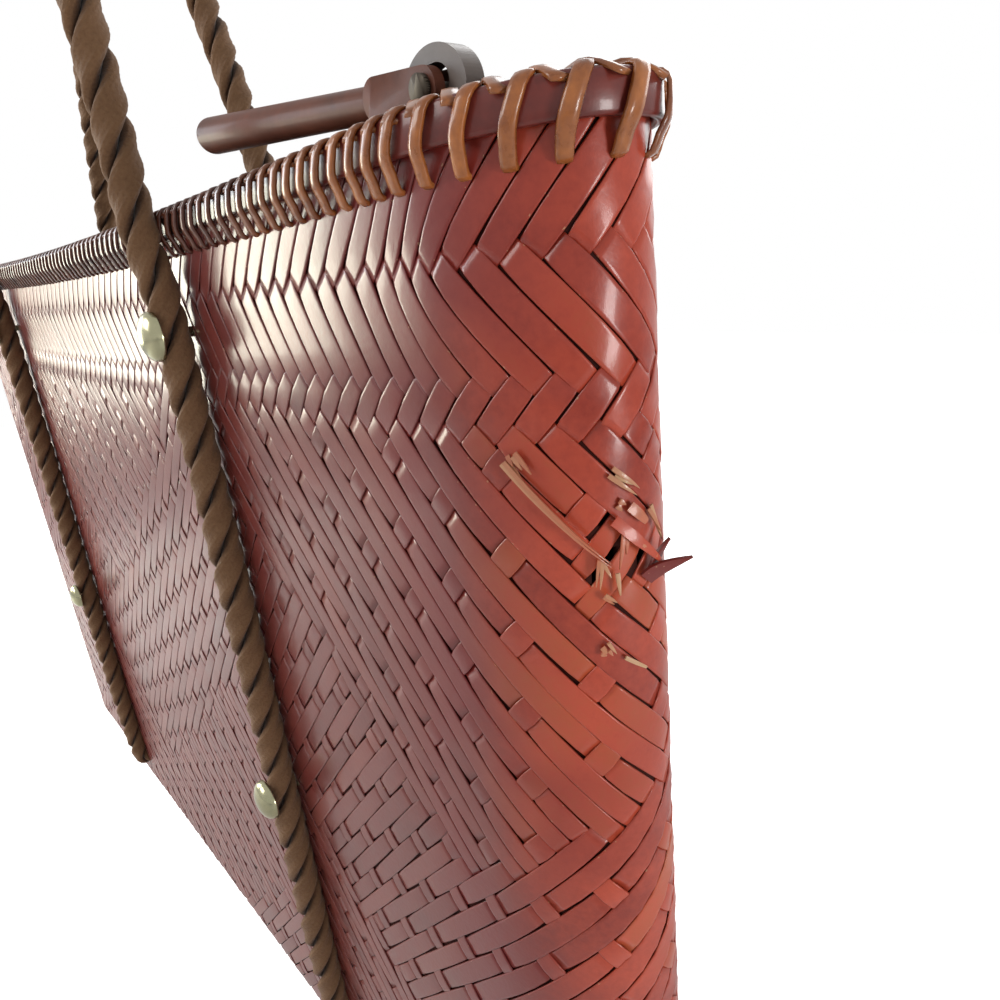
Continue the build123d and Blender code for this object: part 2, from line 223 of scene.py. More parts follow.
def plain(obj: bpy.types.Object) -> bpy.types.Object:
    """Puts an object's modifiers into its mesh.

    Args:
        obj: a mesh object with modifiers.

    Returns:
        The same object, with none.
    """
    bpy.context.view_layer.update()
    depsgraph = bpy.context.evaluated_depsgraph_get()
    mesh = bpy.data.meshes.new_from_object(obj.evaluated_get(depsgraph), depsgraph=depsgraph)
    obj.modifiers.clear()
    obj.data = mesh
    mesh.name = obj.name
    return obj


def place_object(name: str, data: Any) -> bpy.types.Object:
    """Links new data into the scene.

    Args:
        name: the object's name.
        data: its mesh, curve or lamp.

    Returns:
        The object, at the origin.
    """
    obj = bpy.data.objects.new(name, data)
    bpy.context.scene.collection.objects.link(obj)
    return obj


def mesh_object(name: str, points: Sequence, faces: Sequence, smooth: bool = True) -> bpy.types.Object:
    """Makes a mesh object.

    Args:
        name: the object's name.
        points: places of its vertices, in metres.
        faces: vertex numbers of each face.
        smooth: whether its faces are shaded smooth.

    Returns:
        The object.
    """
    mesh = bpy.data.meshes.new(name)
    mesh.from_pydata([tuple(p) for p in points], [], [tuple(f) for f in faces])
    mesh.polygons.foreach_set("use_smooth", [smooth] * len(mesh.polygons))
    mesh.update()
    return place_object(name, mesh)


def joined(name: str, objects: Sequence[bpy.types.Object]) -> bpy.types.Object:
    """Joins mesh objects into the first one.

    Args:
        name: the joined object's name.
        objects: the objects, all at the origin.

    Returns:
        The first object, with everything in it.
    """
    bpy.ops.object.select_all(action="DESELECT")
    for obj in objects:
        obj.select_set(True)
    bpy.context.view_layer.objects.active = objects[0]
    bpy.ops.object.join()
    objects[0].name = name
    objects[0].data.name = name
    return objects[0]


def outward(obj: bpy.types.Object) -> bpy.types.Object:
    """Turns a closed mesh's faces outwards.

    Args:
        obj: the mesh object.

    Returns:
        The same object.
    """
    cleaner = bmesh.new()
    cleaner.from_mesh(obj.data)
    bmesh.ops.remove_doubles(cleaner, verts=cleaner.verts, dist=1e-7)
    bmesh.ops.recalc_face_normals(cleaner, faces=cleaner.faces)
    cleaner.to_mesh(obj.data)
    cleaner.free()
    return obj


def band(first: int, second: int, count: int) -> list[tuple[int, int, int, int]]:
    """Faces between two closed rings of points, from the numbers of the rings' first points."""
    return [(first + m, first + (m + 1) % count, second + (m + 1) % count, second + m) for m in range(count)]


def swept(name: str, path: Sequence[Vector], ring: Callable[[float], Sequence[tuple[float, float]]],
          up: Vector = Vector((0, 0, 1))) -> bpy.types.Object:
    """Sweeps a section along a path, with flat ends.

    Args:
        name: the object's name.
        path: centre points, in metres.
        ring: from a share of the path (0 to 1), the section's points as side and rise.
        up: the direction that a section's rise leans towards.

    Returns:
        The closed mesh object.
    """
    points, faces = [], []
    count = len(ring(0.0))
    for k, centre in enumerate(path):
        ahead = (path[min(k + 1, len(path) - 1)] - path[max(k - 1, 0)]).normalized()
        side = ahead.cross(up).normalized()
        rise = side.cross(ahead)
        points += [centre + side * a + rise * b for a, b in ring(k / (len(path) - 1))]
    for k in range(len(path) - 1):
        faces += band(k * count, (k + 1) * count, count)
    faces.append(range(count))
    faces.append(range((len(path) - 1) * count, len(path) * count))
    return outward(mesh_object(name, points, faces))


def circle(radius: float, count: int) -> list[tuple[float, float]]:
    """Points of a round section."""
    turns = [2 * math.pi * k / count for k in range(count)]
    return [(radius * math.cos(turn), radius * math.sin(turn)) for turn in turns]


def lathed(name: str, profile: Sequence[tuple[float, float]], base: Vector, axis: Vector,
           count: int) -> bpy.types.Object:
    """Turns a profile round an axis.

    Args:
        name: the object's name.
        profile: distance along the axis and radius, from one pole to the other, in metres.
        base: where the axis starts.
        axis: its direction.
        count: how many points go round.

    Returns:
        The closed mesh object.
    """
    turn = Vector((0, 0, 1)).rotation_difference(axis).to_matrix()
    points, faces = [], []
    for along, radius in profile[1:-1]:
        points += [base + turn @ Vector((x, y, along)) for x, y in circle(radius, count)]
    rings = len(profile) - 2
    for k in range(rings - 1):
        faces += band(k * count, (k + 1) * count, count)
    for ring, (along, _) in ((0, profile[0]), (rings - 1, profile[-1])):
        pole = len(points)
        points.append(base + turn @ Vector((0, 0, along)))
        faces += [(ring * count + m, ring * count + (m + 1) % count, pole) for m in range(count)]
    return outward(mesh_object(name, points, faces))


@dataclass
class Plan:
    """Outline of the bag seen from above, in millimetres: flat faces, shoulder arcs and tip arcs."""

    length: float = 407.0
    thickness: float = 30.0
    tip_radius: float = 10.5
    shoulder_radius: float = 34.0
    height: float = 245.0
    rim_rise: float = 4.0
    base_radius: float = 6.5

    def __post_init__(self) -> None:
        """Works out where the arcs meet."""
        offset = self.shoulder_radius - self.thickness / 2
        self.tip_centre = self.length / 2 - self.tip_radius
        reach = math.sqrt((self.shoulder_radius - self.tip_radius) ** 2 - offset**2)
        self.offset = offset
        self.face_run = self.tip_centre - reach
        self.tip_angle = math.atan2(offset, reach)
        self.shoulder_run = self.shoulder_radius * (math.pi / 2 - self.tip_angle)
        self.tip_run = 2 * self.tip_radius * self.tip_angle
        self.half = 2 * self.face_run + 2 * self.shoulder_run + self.tip_run

    def place(self, run: float) -> tuple[float, float, float]:
        """Finds a place on the outline.

        Args:
            run: length along the outline from the middle of the front face towards +X.

        Returns:
            Its x and y, and the angle of the outward direction.
        """
        run %= 2 * self.half
        if run > self.half:
            x, y, turn = self.place(run - self.half)
            return -x, -y, turn + math.pi
        if run < self.face_run:
            return run, -self.thickness / 2, -math.pi / 2
        run -= self.face_run
        if run < self.shoulder_run:
            turn = -math.pi / 2 + run / self.shoulder_radius
            x = self.face_run + self.shoulder_radius * math.cos(turn)
            return x, self.offset + self.shoulder_radius * math.sin(turn), turn
        run -= self.shoulder_run
        if run < self.tip_run:
            turn = -self.tip_angle + run / self.tip_radius
            return self.tip_centre + self.tip_radius * math.cos(turn), self.tip_radius * math.sin(turn), turn
        run -= self.tip_run
        if run < self.shoulder_run:
            turn = self.tip_angle + run / self.shoulder_radius
            x = self.face_run + self.shoulder_radius * math.cos(turn)
            return x, self.shoulder_radius * math.sin(turn) - self.offset, turn
        return self.face_run - (run - self.shoulder_run), self.thickness / 2, math.pi / 2

    def on_wall(self, run: float, up: float, lift: float) -> Vector:
        """Finds a place on the wall.

        Args:
            run: length along the outline.
            up: height.
            lift: how far the place stands out from the wall's outside.

        Returns:
            The place, in metres.
        """
        x, y, turn = self.place(run)
        rise = self.rim_rise * (x / (self.length / 2)) ** 2 * max(up, 0.0) / self.height
        return Vector((x + lift * math.cos(turn), y + lift * math.sin(turn), up + rise)) * MM

    def curve(self) -> bpy.types.Object:
        """Makes the outline as a closed curve that Geometry Nodes read.

        Returns:
            The curve object, in metres.
        """
        count = int(2 * self.half)
        data = bpy.data.curves.new("plan_outline", "CURVE")
        data.dimensions = "3D"
        spline = data.splines.new("POLY")
        spline.points.add(count - 1)
        for k in range(count):
            x, y, _ = self.place(k * 2 * self.half / count)
            spline.points[k].co = (x * MM, y * MM, 0, 1)
        spline.use_cyclic_u = True
        return place_object("plan_outline", data)


@dataclass
class Wrapping:
    """Geometry Nodes that put a piece on each point of a flat map and wrap the map round the bag."""

    plan: Plan
    outline: bpy.types.Object
    even_reach: float = 16.0
    steep_reach: float = 44.0
    shear_top: float = 228.0
    shear_bottom: float = 211.0

    def tree(self, name: str) -> Graph:
        """Builds the tree.

        Args:
            name: the tree's name.

        Returns:
            The graph. Its points carry lean, wide, long and tone; a map's X is the run, its Y the height.
        """
        g = Graph.geometry(name, [("Piece", "NodeSocketObject"), ("Outline", "NodeSocketObject"),
                                  ("Row Shear", "NodeSocketFloat"), ("Material", "NodeSocketMaterial")])
        piece = g.add("GeometryNodeObjectInfo", {"Object": g.entry.outputs["Piece"]})
        placed = g.add("GeometryNodeInstanceOnPoints", {
            "Points": g.entry.outputs["Geometry"],
            "Instance": piece.outputs["Geometry"],
            "Rotation": g.xyz(z=g.attribute("lean")),
            "Scale": g.xyz(g.attribute("wide"), g.attribute("long"), 1.0),
        })
        real = g.add("GeometryNodeRealizeInstances", {"Geometry": placed.outputs["Instances"]})
        position = g.add("GeometryNodeInputPosition").outputs[0]
        split = g.add("ShaderNodeSeparateXYZ", {0: position})
        run, up, lift = split.outputs
        sheared = self.sheared(g, run, up)
        total = 2 * self.plan.half * MM
        sample = g.add("GeometryNodeSampleCurve", {
            "Curves": g.add("GeometryNodeObjectInfo", {"Object": g.entry.outputs["Outline"]}).outputs["Geometry"],
            "Length": g.math("FLOORED_MODULO", sheared, total),
        }, mode="LENGTH", data_type="FLOAT")
        along = g.add("ShaderNodeSeparateXYZ", {0: sample.outputs["Tangent"]})
        out = g.vector("NORMALIZE", g.xyz(along.outputs[1], g.math("MULTIPLY", along.outputs[0], -1.0), 0.0))
        radius = self.plan.base_radius * MM
        bend = g.math("DIVIDE", g.math("SUBTRACT", radius, up), radius)
        turn = g.math("MINIMUM", g.math("MAXIMUM", bend, 0.0), math.pi / 2)
        under = g.math("MAXIMUM", g.math("SUBTRACT", radius * (1 - math.pi / 2), up), 0.0)
        inset = g.math("ADD", g.math("MULTIPLY", g.math("SUBTRACT", 1.0, g.math("COSINE", turn)), radius), under)
        level = g.math("ADD", g.math("MAXIMUM", up, radius), g.math("MULTIPLY", g.math("SINE", turn), -radius))
        at = g.add("ShaderNodeSeparateXYZ", {0: sample.outputs["Position"]}).outputs[0]
        share = g.math("POWER", g.math("DIVIDE", at, self.plan.length / 2 * MM), 2.0)
        slope = g.math("MULTIPLY", share, self.plan.rim_rise / self.plan.height)
        rise = g.math("MULTIPLY", slope, g.math("MAXIMUM", up, 0.0))
        side = g.math("SUBTRACT", g.math("MULTIPLY", lift, g.math("COSINE", turn)), inset)
        down = g.math("MULTIPLY", lift, g.math("SINE", turn))
        height = g.math("SUBTRACT", g.math("ADD", level, rise), down)
        moved = g.vector("ADD", g.vector("ADD", sample.outputs["Position"], g.scaled(out, side)), g.xyz(z=height))
        wrapped = g.add("GeometryNodeSetPosition", {"Geometry": real.outputs[0], "Position": moved})
        dressed = g.add("GeometryNodeSetMaterial", {
            "Geometry": wrapped.outputs[0], "Material": g.entry.outputs["Material"],
        })
        g.finish("Geometry", dressed.outputs[0])
        return g

    def sheared(self, g: Graph, run: Any, up: Any) -> Any:
        """Shifts the map sideways through the second row, where the strips of the flat faces stand steeper.

        Args:
            g: the graph to add to.
            run: the socket of a point's run on the map.
            up: the socket of its height.

        Returns:
            The socket of the shifted run.
        """
        past = g.ranged(up, self.shear_top * MM, self.shear_bottom * MM)
        half = self.plan.half * MM
        side = g.math("ABSOLUTE", g.math("SUBTRACT", g.math("FLOORED_MODULO", run, 2 * half), half))
        away = g.math("ABSOLUTE", g.math("SUBTRACT", side, half / 2))
        steep = g.ranged(away, self.even_reach * MM, self.steep_reach * MM, smooth=True)
        held = g.math("SUBTRACT", 1.0, steep)
        shift = g.math("ADD", past, g.math("MULTIPLY", held, g.math("SUBTRACT", 1.0, past)))
        return g.math("ADD", run, g.math("MULTIPLY", shift, g.entry.outputs["Row Shear"]))

    def made(self, name: str, spots: Sequence[dict], piece: bpy.types.Object, material: bpy.types.Material,
             shear: float = 0.0) -> bpy.types.Object:
        """Makes one wrapped object.

        Args:
            name: the object's name.
            spots: run, up, lift, lean, wide, long and tone of each piece.
            piece: the unit mesh to place.
            material: the finish.
            shear: sideways shift in the second row, in metres.

        Returns:
            The plain mesh object.
        """
        points = [(s["run"] * MM, s["up"] * MM, s.get("lift", 0.0) * MM) for s in spots]
        cloud = mesh_object(name, points, [])
        for key in ("lean", "wide", "long", "tone", "pale"):
            values = cloud.data.attributes.new(key, "FLOAT", "POINT").data
            values.foreach_set("value", [float(s.get(key, 0.0)) for s in spots])
        graph = self.tree(name + "_nodes")
        return graph.on(cloud, {"Piece": piece, "Outline": self.outline, "Row Shear": shear, "Material": material})


@dataclass
class Weave:
    """The bias weave of the wall: where each strip shows, and the strips themselves."""

    plan: Plan
    strips_round: int = 148
    lean: float = math.radians(43.0)
    repeat: int = 8
    step: int = 3
    top: float = 242.0
    bottom: float = -12.0
    row_edges: tuple[float, ...] = (228.0, 211.0, 205.0)
    zone_height: float = 80.0
    zone_count: int = 4
    strip_thickness: float = 0.5
    strip_arch: float = 0.10
    strip_dip: float = 0.24
    strip_waist: float = 0.12
    strip_seat: float = 0.25
    section: tuple[tuple[float, float], ...] = (
        (-0.5, -0.6), (-0.49, -0.14), (-0.445, -0.02), (-0.36, 0.0),
        (0.36, 0.0), (0.445, -0.02), (0.49, -0.14), (0.5, -0.6),
    )
    fill: float = 0.975
    end_lap: float = 0.13
    shear: float = -6.2
    seed: int = 7
    lift_play: float = 0.04
    lean_play: float = 1.0
    width_play: tuple[float, float] = (0.96, 1.02)
    strip_share: float = 0.55
    holes: tuple[tuple[float, float, float], ...] = ((204.8, 193.2, 1.8), (203.6, 187.6, 2.6), (210.6, 187.0, 2.2))
    bare_patches: tuple[tuple[float, float, float], ...] = ((205.2, 190.4, 5.0), (210.8, 187.2, 2.6))
    bare_fill: float = 0.74
    bare_sink: float = 0.25

    def __post_init__(self) -> None:
        """Works out the strip's width from how many go round."""
        self.pitch = 2 * self.plan.half / self.strips_round
        self.width = self.pitch * math.cos(self.lean)
        self.cell = self.width / math.sin(2 * self.lean)

    def centre(self, i: float, j: float) -> tuple[float, float]:
        """Run and height of the crossing of right-leaning strip i and left-leaning strip j."""
        p, q = (i + 0.5) * self.width, (j + 0.5) * self.width
        return (p + q) / (2 * math.cos(self.lean)), (q - p) / (2 * math.sin(self.lean))

    def zone(self, run: float, up: float) -> Lean:
        """Which strips show most at a place: rows near the rim, then large zigzag zones.

        Args:
            run: the place's run.
            up: its height.

        Returns:
            The lean of those strips.
        """
        top, middle, low = self.row_edges
        if up > top:
            return Lean.RIGHT
        if up > middle:
            return Lean.LEFT
        if up > low:
            return Lean.RIGHT
        period = 2 * self.plan.half / self.zone_count
        share = ((run - self.plan.face_run) / period) % 1.0
        drop = self.zone_height * (1 - abs(2 * share - 1))
        return Lean.LEFT if int((low - up + drop) // self.zone_height) % 2 == 0 else Lean.RIGHT

    def is_bare(self, run: float, up: float) -> bool:
        """Whether a place on the map lies in a patch whose upper strips are broken away."""
        return any(math.hypot(run + self.shear - x, up - z) < size for x, z, size in self.bare_patches)

    def on_top(self, i: int, j: int) -> Lean:
        """Which strip is on top at a crossing.

        Args:
            i: number of the right-leaning strip.
            j: number of the left-leaning strip.

        Returns:
            The lean of the upper one.
        """
        run, up = self.centre(i, j)
        main = self.zone(run, up)
        if up > self.row_edges[-1]:
            return main
        if self.is_bare(run, up):
            return Lean.RIGHT
        if (i - self.step * j) % self.repeat == 0:
            return Lean.LEFT if main is Lean.RIGHT else Lean.RIGHT
        return main

    def floats(self) -> dict[Lean, list[dict]]:
        """Finds every stretch of strip that shows.

        Returns:
            For each lean, the run, height, length, tone and so on of each stretch.
        """
        chance = random.Random(self.seed)
        tall = int(math.ceil((self.top - self.bottom) * 2 * math.sin(self.lean) / self.width)) + 2
        low = int(math.floor(self.bottom * 2 * math.sin(self.lean) / self.width)) - 1
        found: dict[Lean, list[dict]] = {Lean.RIGHT: [], Lean.LEFT: []}
        for lean in Lean:
            for strip in range(self.strips_round):
                strip_tone = chance.random()
                stretch: list[int] = []
                for step in range(low, low + tall + 1):
                    cell = (strip, strip + step) if lean is Lean.RIGHT else (strip - step, strip)
                    run, up = self.centre(*cell)
                    shows = self.bottom < up < self.top and self.on_top(*cell) is lean
                    if shows:
                        stretch.append(step)
                    if stretch and (not shows or step == low + tall):
                        found[lean].append(self.stretch(lean, strip, stretch, strip_tone, chance))
                        stretch = []
        return found

    def stretch(self, lean: Lean, strip: int, steps: Sequence[int], strip_tone: float, chance: random.Random) -> dict:
        """Describes one stretch that shows.

        Args:
            lean: the strip's lean.
            strip: the strip's number.
            steps: the crossings that it covers, in order.
            strip_tone: tone of the whole strip, 0 to 1.
            chance: the random source.

        Returns:
            The stretch's map place, turn, sizes and tone.
        """
        middle = (steps[0] + steps[-1]) / 2
        run, up = self.centre(strip, strip + middle) if lean is Lean.RIGHT else self.centre(strip - middle, strip)
        length = (len(steps) + 2 * self.end_lap) * self.cell
        bare = lean is Lean.RIGHT and self.is_bare(run, up)
        return {
            "run": run,
            "up": up,
            "lift": chance.uniform(-self.lift_play, self.lift_play) - (self.bare_sink if bare else 0.0),
            "lean": lean.value * (self.lean + math.radians(chance.uniform(-self.lean_play, self.lean_play))),
            "wide": self.width * MM * (self.bare_fill if bare else self.fill) * chance.uniform(*self.width_play),
            "long": length * MM,
            "tone": self.strip_share * strip_tone + (1 - self.strip_share) * chance.random(),
        }

    def unit_strip(self, name: str, stations: Sequence[float]) -> bpy.types.Object:
        """Makes the strip that is placed for each stretch: one long, one wide, flat, with its ends tucked under.

        Args:
            name: the object's name.
            stations: places of its sections on the half from the middle to one end, 0 to 1.

        Returns:
            The closed mesh, its UV across and along.
        """
        places = [-t for t in reversed(stations) if t > 0] + list(stations)
        points, faces = [], []
        for t in places:
            # Even powers of a high order keep the strip flat up to its ends, where it dips and narrows.
            lift = (self.strip_arch * (1 - t * t) - self.strip_dip * abs(t) ** 6 - self.strip_seat) * MM
            narrow = 1.0 - self.strip_waist * abs(t) ** 4
            points += [(x * narrow, t / 2, lift + z * self.strip_thickness * MM) for x, z in self.section]
        n = len(self.section)
        for k in range(len(places) - 1):
            faces += band(k * n, (k + 1) * n, n)
        faces.append(tuple(range(n)))
        faces.append(tuple((len(places) - 1) * n + m for m in range(n)))
        strip = outward(mesh_object(name, points, faces))
        uv = strip.data.uv_layers.new(name="strip")
        for loop in strip.data.loops:
            x, y, _ = strip.data.vertices[loop.vertex_index].co
            uv.data[loop.index].uv = (x + 0.5, y + 0.5)
        return strip


class Finish:
    """A surface finish. Each subclass builds its own material."""

    name = "finish"

    def start(self) -> tuple[bpy.types.Material, Graph, bpy.types.Node]:
        """Makes an empty material.

        Returns:
            The material, its graph, and its Principled BSDF, linked to the output.
        """
        material = bpy.data.materials.new(self.name)
        material.use_nodes = True
        material.node_tree.nodes.clear()
        graph = Graph(material.node_tree)
        surface = graph.add("ShaderNodeBsdfPrincipled")
        graph.add("ShaderNodeOutputMaterial", {"Surface": surface.outputs[0]})
        return material, graph, surface

    def build(self) -> bpy.types.Material:
        """Builds the material. Each subclass has its own."""
        raise NotImplementedError


class Effects:
    """Shader groups that several finishes share, each built once."""

    _made: dict[str, bpy.types.NodeTree] = {}

    @classmethod
    def grain(cls) -> bpy.types.NodeTree:
        """Grain: fine streaks and blotches as a value around 0.5, and a height, from a coordinate.

        Returns:
            The group.
        """
        if "grain" not in cls._made:
            g = Graph.effect("lengthwise_grain", [
                ("Vector", "NodeSocketVector", (0, 0, 0)), ("Fine Scale", "NodeSocketFloat", 900.0),
                ("Blotch Scale", "NodeSocketFloat", 60.0), ("Blotch Share", "NodeSocketFloat", 0.5),
            ], [("Value", "NodeSocketFloat"), ("Height", "NodeSocketFloat")])
            inputs = g.entry.outputs
            fine = g.add("ShaderNodeTexNoise", {
                "Vector": inputs["Vector"], "Scale": inputs["Fine Scale"], "Detail": 3.0, "Roughness": 0.6,
            })
            blotch = g.add("ShaderNodeTexNoise", {
                "Vector": inputs["Vector"], "Scale": inputs["Blotch Scale"], "Detail": 2.0, "Roughness": 0.55,
            })
            mix = g.add("ShaderNodeMix", {
                "Factor": inputs["Blotch Share"], "A": fine.outputs[0], "B": blotch.outputs[0],
            }, data_type="FLOAT")
            g.finish("Value", mix.outputs["Result"])
            g.finish("Height", fine.outputs[0])
            cls._made["grain"] = g.tree
        return cls._made["grain"]

    @staticmethod
    def place(graph: Graph, tree: bpy.types.NodeTree, inputs: dict) -> bpy.types.Node:
        """Puts a shared group into a material's graph.

        Args:
            graph: the material's graph.
            tree: the group.
            inputs: input name, and a value or the socket to link from.

        Returns:
            The group's node.
        """
        node = graph.tree.nodes.new("ShaderNodeGroup")
        node.node_tree = tree
        for key, value in inputs.items():
            if isinstance(value, bpy.types.NodeSocket):
                graph.tree.links.new(value, node.inputs[key])
            else:
                node.inputs[key].default_value = value
        return node


def ramp(graph: Graph, value: Any, stops: Sequence[tuple[float, Colour]]) -> bpy.types.NodeSocket:
    """Adds a colour ramp.

    Args:
        graph: the material's graph.
        value: the socket that drives it.
        stops: place and colour of each stop.

    Returns:
        Its colour socket.
    """
    node = graph.add("ShaderNodeValToRGB", {"Fac": value})
    while len(node.color_ramp.elements) < len(stops):
        node.color_ramp.elements.new(0.5)
    for element, (place, colour) in zip(node.color_ramp.elements, stops):
        element.position = place
        element.color = (*colour, 1.0)
    return node.outputs["Color"]


@dataclass(frozen=True)
class LacquerFinish(Finish):
    """Red-brown lacquer over bamboo strips: each strip has its own tone, painted light makes the +X end brighter and
    warmer, and painted shade darkens a band before it.
    """

    name: str = "lacquered_strip"
    dark: Colour = (0.070, 0.011, 0.010)
    middle: Colour = (0.135, 0.026, 0.022)
    light: Colour = (0.190, 0.044, 0.033)
    # pale is bare wood, and also the colour of the edge specks, which are partly worn lacquer and partly painted
    # glints.
    pale: Colour = (0.50, 0.31, 0.17)
    # Painted light: a brighter, warmer copy of the lacquer colours for the lit +X end.
    lit_end_dark: Colour = (0.150, 0.012, 0.008)
    lit_end_light: Colour = (0.450, 0.064, 0.030)
    lit_end_orange: Colour = (0.360, 0.085, 0.026)
    lit_end_band: tuple[float, float] = (0.176, 0.203)
    tone_share: float = 0.40
    roughness: float = 0.30
    # Painted shade: darker crimson blotches from just before the +X end, weaker on the lit end itself.
    painted_shade: Colour = (0.135, 0.009, 0.009)
    painted_shade_scale: float = 34.0
    painted_shade_band: tuple[float, float] = (0.152, 0.178)
    painted_shade_limits: tuple[float, float] = (0.40, 0.56)
    painted_shade_most: float = 0.75
    painted_shade_loss: float = 0.6
    # Pale specks on strip edges: partly worn lacquer, partly painted glints.
    wear_and_glint_scale: float = 1300.0
    wear_and_glint_limit: float = 0.70
    wear_and_glint_edge: float = 0.43
    wear_and_glint_pale: float = 0.40
    specular: float = 0.25
    coat: float = 0.20
    coat_roughness: float = 0.12

    def coloured(self, g: Graph, place: Any, value: Any) -> bpy.types.NodeSocket:
        """Lacquer colour before the edge specks: body colours, warmer, brighter ones at the +X end as painted light,
        and darker crimson blotches before it as painted shade.

        Args:
            g: the material's graph.
            place: the socket of the object coordinates.
            value: the socket of the tone, 0 to 1.

        Returns:
            The colour's socket.
        """
        body = ramp(g, value, [(0.15, self.dark), (0.50, self.middle), (0.85, self.light)])
        # Painted light: the brighter, warmer colours of the lit +X end.
        lit_end_colour = ramp(g, value, [(0.20, self.lit_end_dark), (0.55, self.lit_end_light), (0.80, self.lit_end_orange)])
        x = g.add("ShaderNodeSeparateXYZ", {0: place}).outputs[0]
        # How much painted light: none on the face, full round the +X end.
        near = g.ranged(x, *self.lit_end_band, smooth=True)
        # Painted shade: noisy darker crimson blotches from just before the +X end onwards.
        cloud = g.add("ShaderNodeTexNoise", {
            "Vector": place, "Scale": self.painted_shade_scale, "Detail": 2.5, "Roughness": 0.5,
        })
        reach = g.ranged(x, *self.painted_shade_band, smooth=True)
        shade_blotches = g.ranged(cloud.outputs[0], *self.painted_shade_limits, out=(0.0, self.painted_shade_most))
        held = g.math("SUBTRACT", 1.0, g.math("MULTIPLY", near, self.painted_shade_loss))
        shade_amount = g.math("MULTIPLY", g.math("MULTIPLY", shade_blotches, reach), held)
        return g.blend(shade_amount, g.blend(near, body, lit_end_colour), (*self.painted_shade, 1))

    def build(self) -> bpy.types.Material:
        """Builds the material.

        Returns:
            The material.
        """
        material, g, surface = self.start()
        place = g.add("ShaderNodeTexCoord").outputs["Object"]
        tone = g.add("ShaderNodeAttribute", attribute_name="tone").outputs["Fac"]
        bare = g.add("ShaderNodeAttribute", attribute_name="pale").outputs["Fac"]
        grain = Effects.place(g, Effects.grain(), {
            "Vector": place, "Fine Scale": 900.0, "Blotch Scale": 70.0, "Blotch Share": 0.6,
        })
        value = g.math("ADD", g.math("MULTIPLY", tone, self.tone_share),
                       g.math("MULTIPLY", grain.outputs["Value"], 1 - self.tone_share))
        colour = self.coloured(g, place, value)
        across = g.add("ShaderNodeSeparateXYZ", {0: g.add("ShaderNodeUVMap", uv_map="strip").outputs[0]}).outputs[0]
        # Pale specks on strip edges: partly worn lacquer, partly painted glints.
        edge = g.math("GREATER_THAN", g.math("ABSOLUTE", g.math("SUBTRACT", across, 0.5)), self.wear_and_glint_edge)
        spots = g.add("ShaderNodeTexNoise", {"Vector": place, "Scale": self.wear_and_glint_scale, "Detail": 2.0})
        wear_and_glint = g.math("MULTIPLY", edge, g.math("GREATER_THAN", spots.outputs[0], self.wear_and_glint_limit))
        bare = g.math("MAXIMUM", bare, g.math("MULTIPLY", wear_and_glint, self.wear_and_glint_pale))
        g.link(g.blend(bare, colour, (*self.pale, 1)), surface, "Base Color")
        spread = (self.roughness - 0.08, self.roughness + 0.14)
        g.link(g.ranged(grain.outputs["Value"], 0.0, 1.0, out=spread), surface, "Roughness")
        bump = g.add("ShaderNodeBump", {"Strength": 0.12, "Distance": 0.0003, "Height": grain.outputs["Height"]})
        g.link(bump.outputs[0], surface, "Normal")
        surface.inputs["Specular IOR Level"].default_value = self.specular
        surface.inputs["Coat Weight"].default_value = self.coat
        surface.inputs["Coat Roughness"].default_value = self.coat_roughness
        return material


@dataclass(frozen=True)
class PlainFinish(Finish):
    """A finish of one colour with some mottling."""

    name: str = "plain"
    colour: Colour = (0.5, 0.5, 0.5)
    second: Colour = (0.6, 0.6, 0.6)
    roughness: float = 0.4
    metallic: float = 0.0
    coat: float = 0.0
    coat_roughness: float = 0.12
    scale: float = 90.0
    bump: float = 0.1
    specular: float = 0.35
    away: tuple[Colour, Colour] | None = None
    away_from: float = 0.172
    away_to: float = 0.115

    def build(self) -> bpy.types.Material:
        """Builds the material. Where it has `away` colours, they take over away from the bag's two ends.

        Returns:
            The material.
        """
        material, g, surface = self.start()
        place = g.add("ShaderNodeTexCoord").outputs["Object"]
        grain = Effects.place(g, Effects.grain(), {
            "Vector": place, "Fine Scale": self.scale * 8, "Blotch Scale": self.scale, "Blotch Share": 0.7,
        })
        colour = ramp(g, grain.outputs["Value"], [(0.3, self.colour), (0.7, self.second)])
        if self.away:
            far = ramp(g, grain.outputs["Value"], [(0.3, self.away[0]), (0.7, self.away[1])])
            x = g.math("ABSOLUTE", g.add("ShaderNodeSeparateXYZ", {0: place}).outputs[0])
            colour = g.blend(g.ranged(x, self.away_to, self.away_from, smooth=True), far, colour)
        g.link(colour, surface, "Base Color")
        spread = (self.roughness - 0.06, self.roughness + 0.1)
        g.link(g.ranged(grain.outputs["Value"], 0.0, 1.0, out=spread), surface, "Roughness")
        bump = g.add("ShaderNodeBump", {
            "Strength": self.bump, "Distance": 0.0003, "Height": grain.outputs["Height"],
        })
        g.link(bump.outputs[0], surface, "Normal")
        surface.inputs["Metallic"].default_value = self.metallic
        surface.inputs["Specular IOR Level"].default_value = self.specular
        surface.inputs["Coat Weight"].default_value = self.coat
        surface.inputs["Coat Roughness"].default_value = self.coat_roughness
        return material


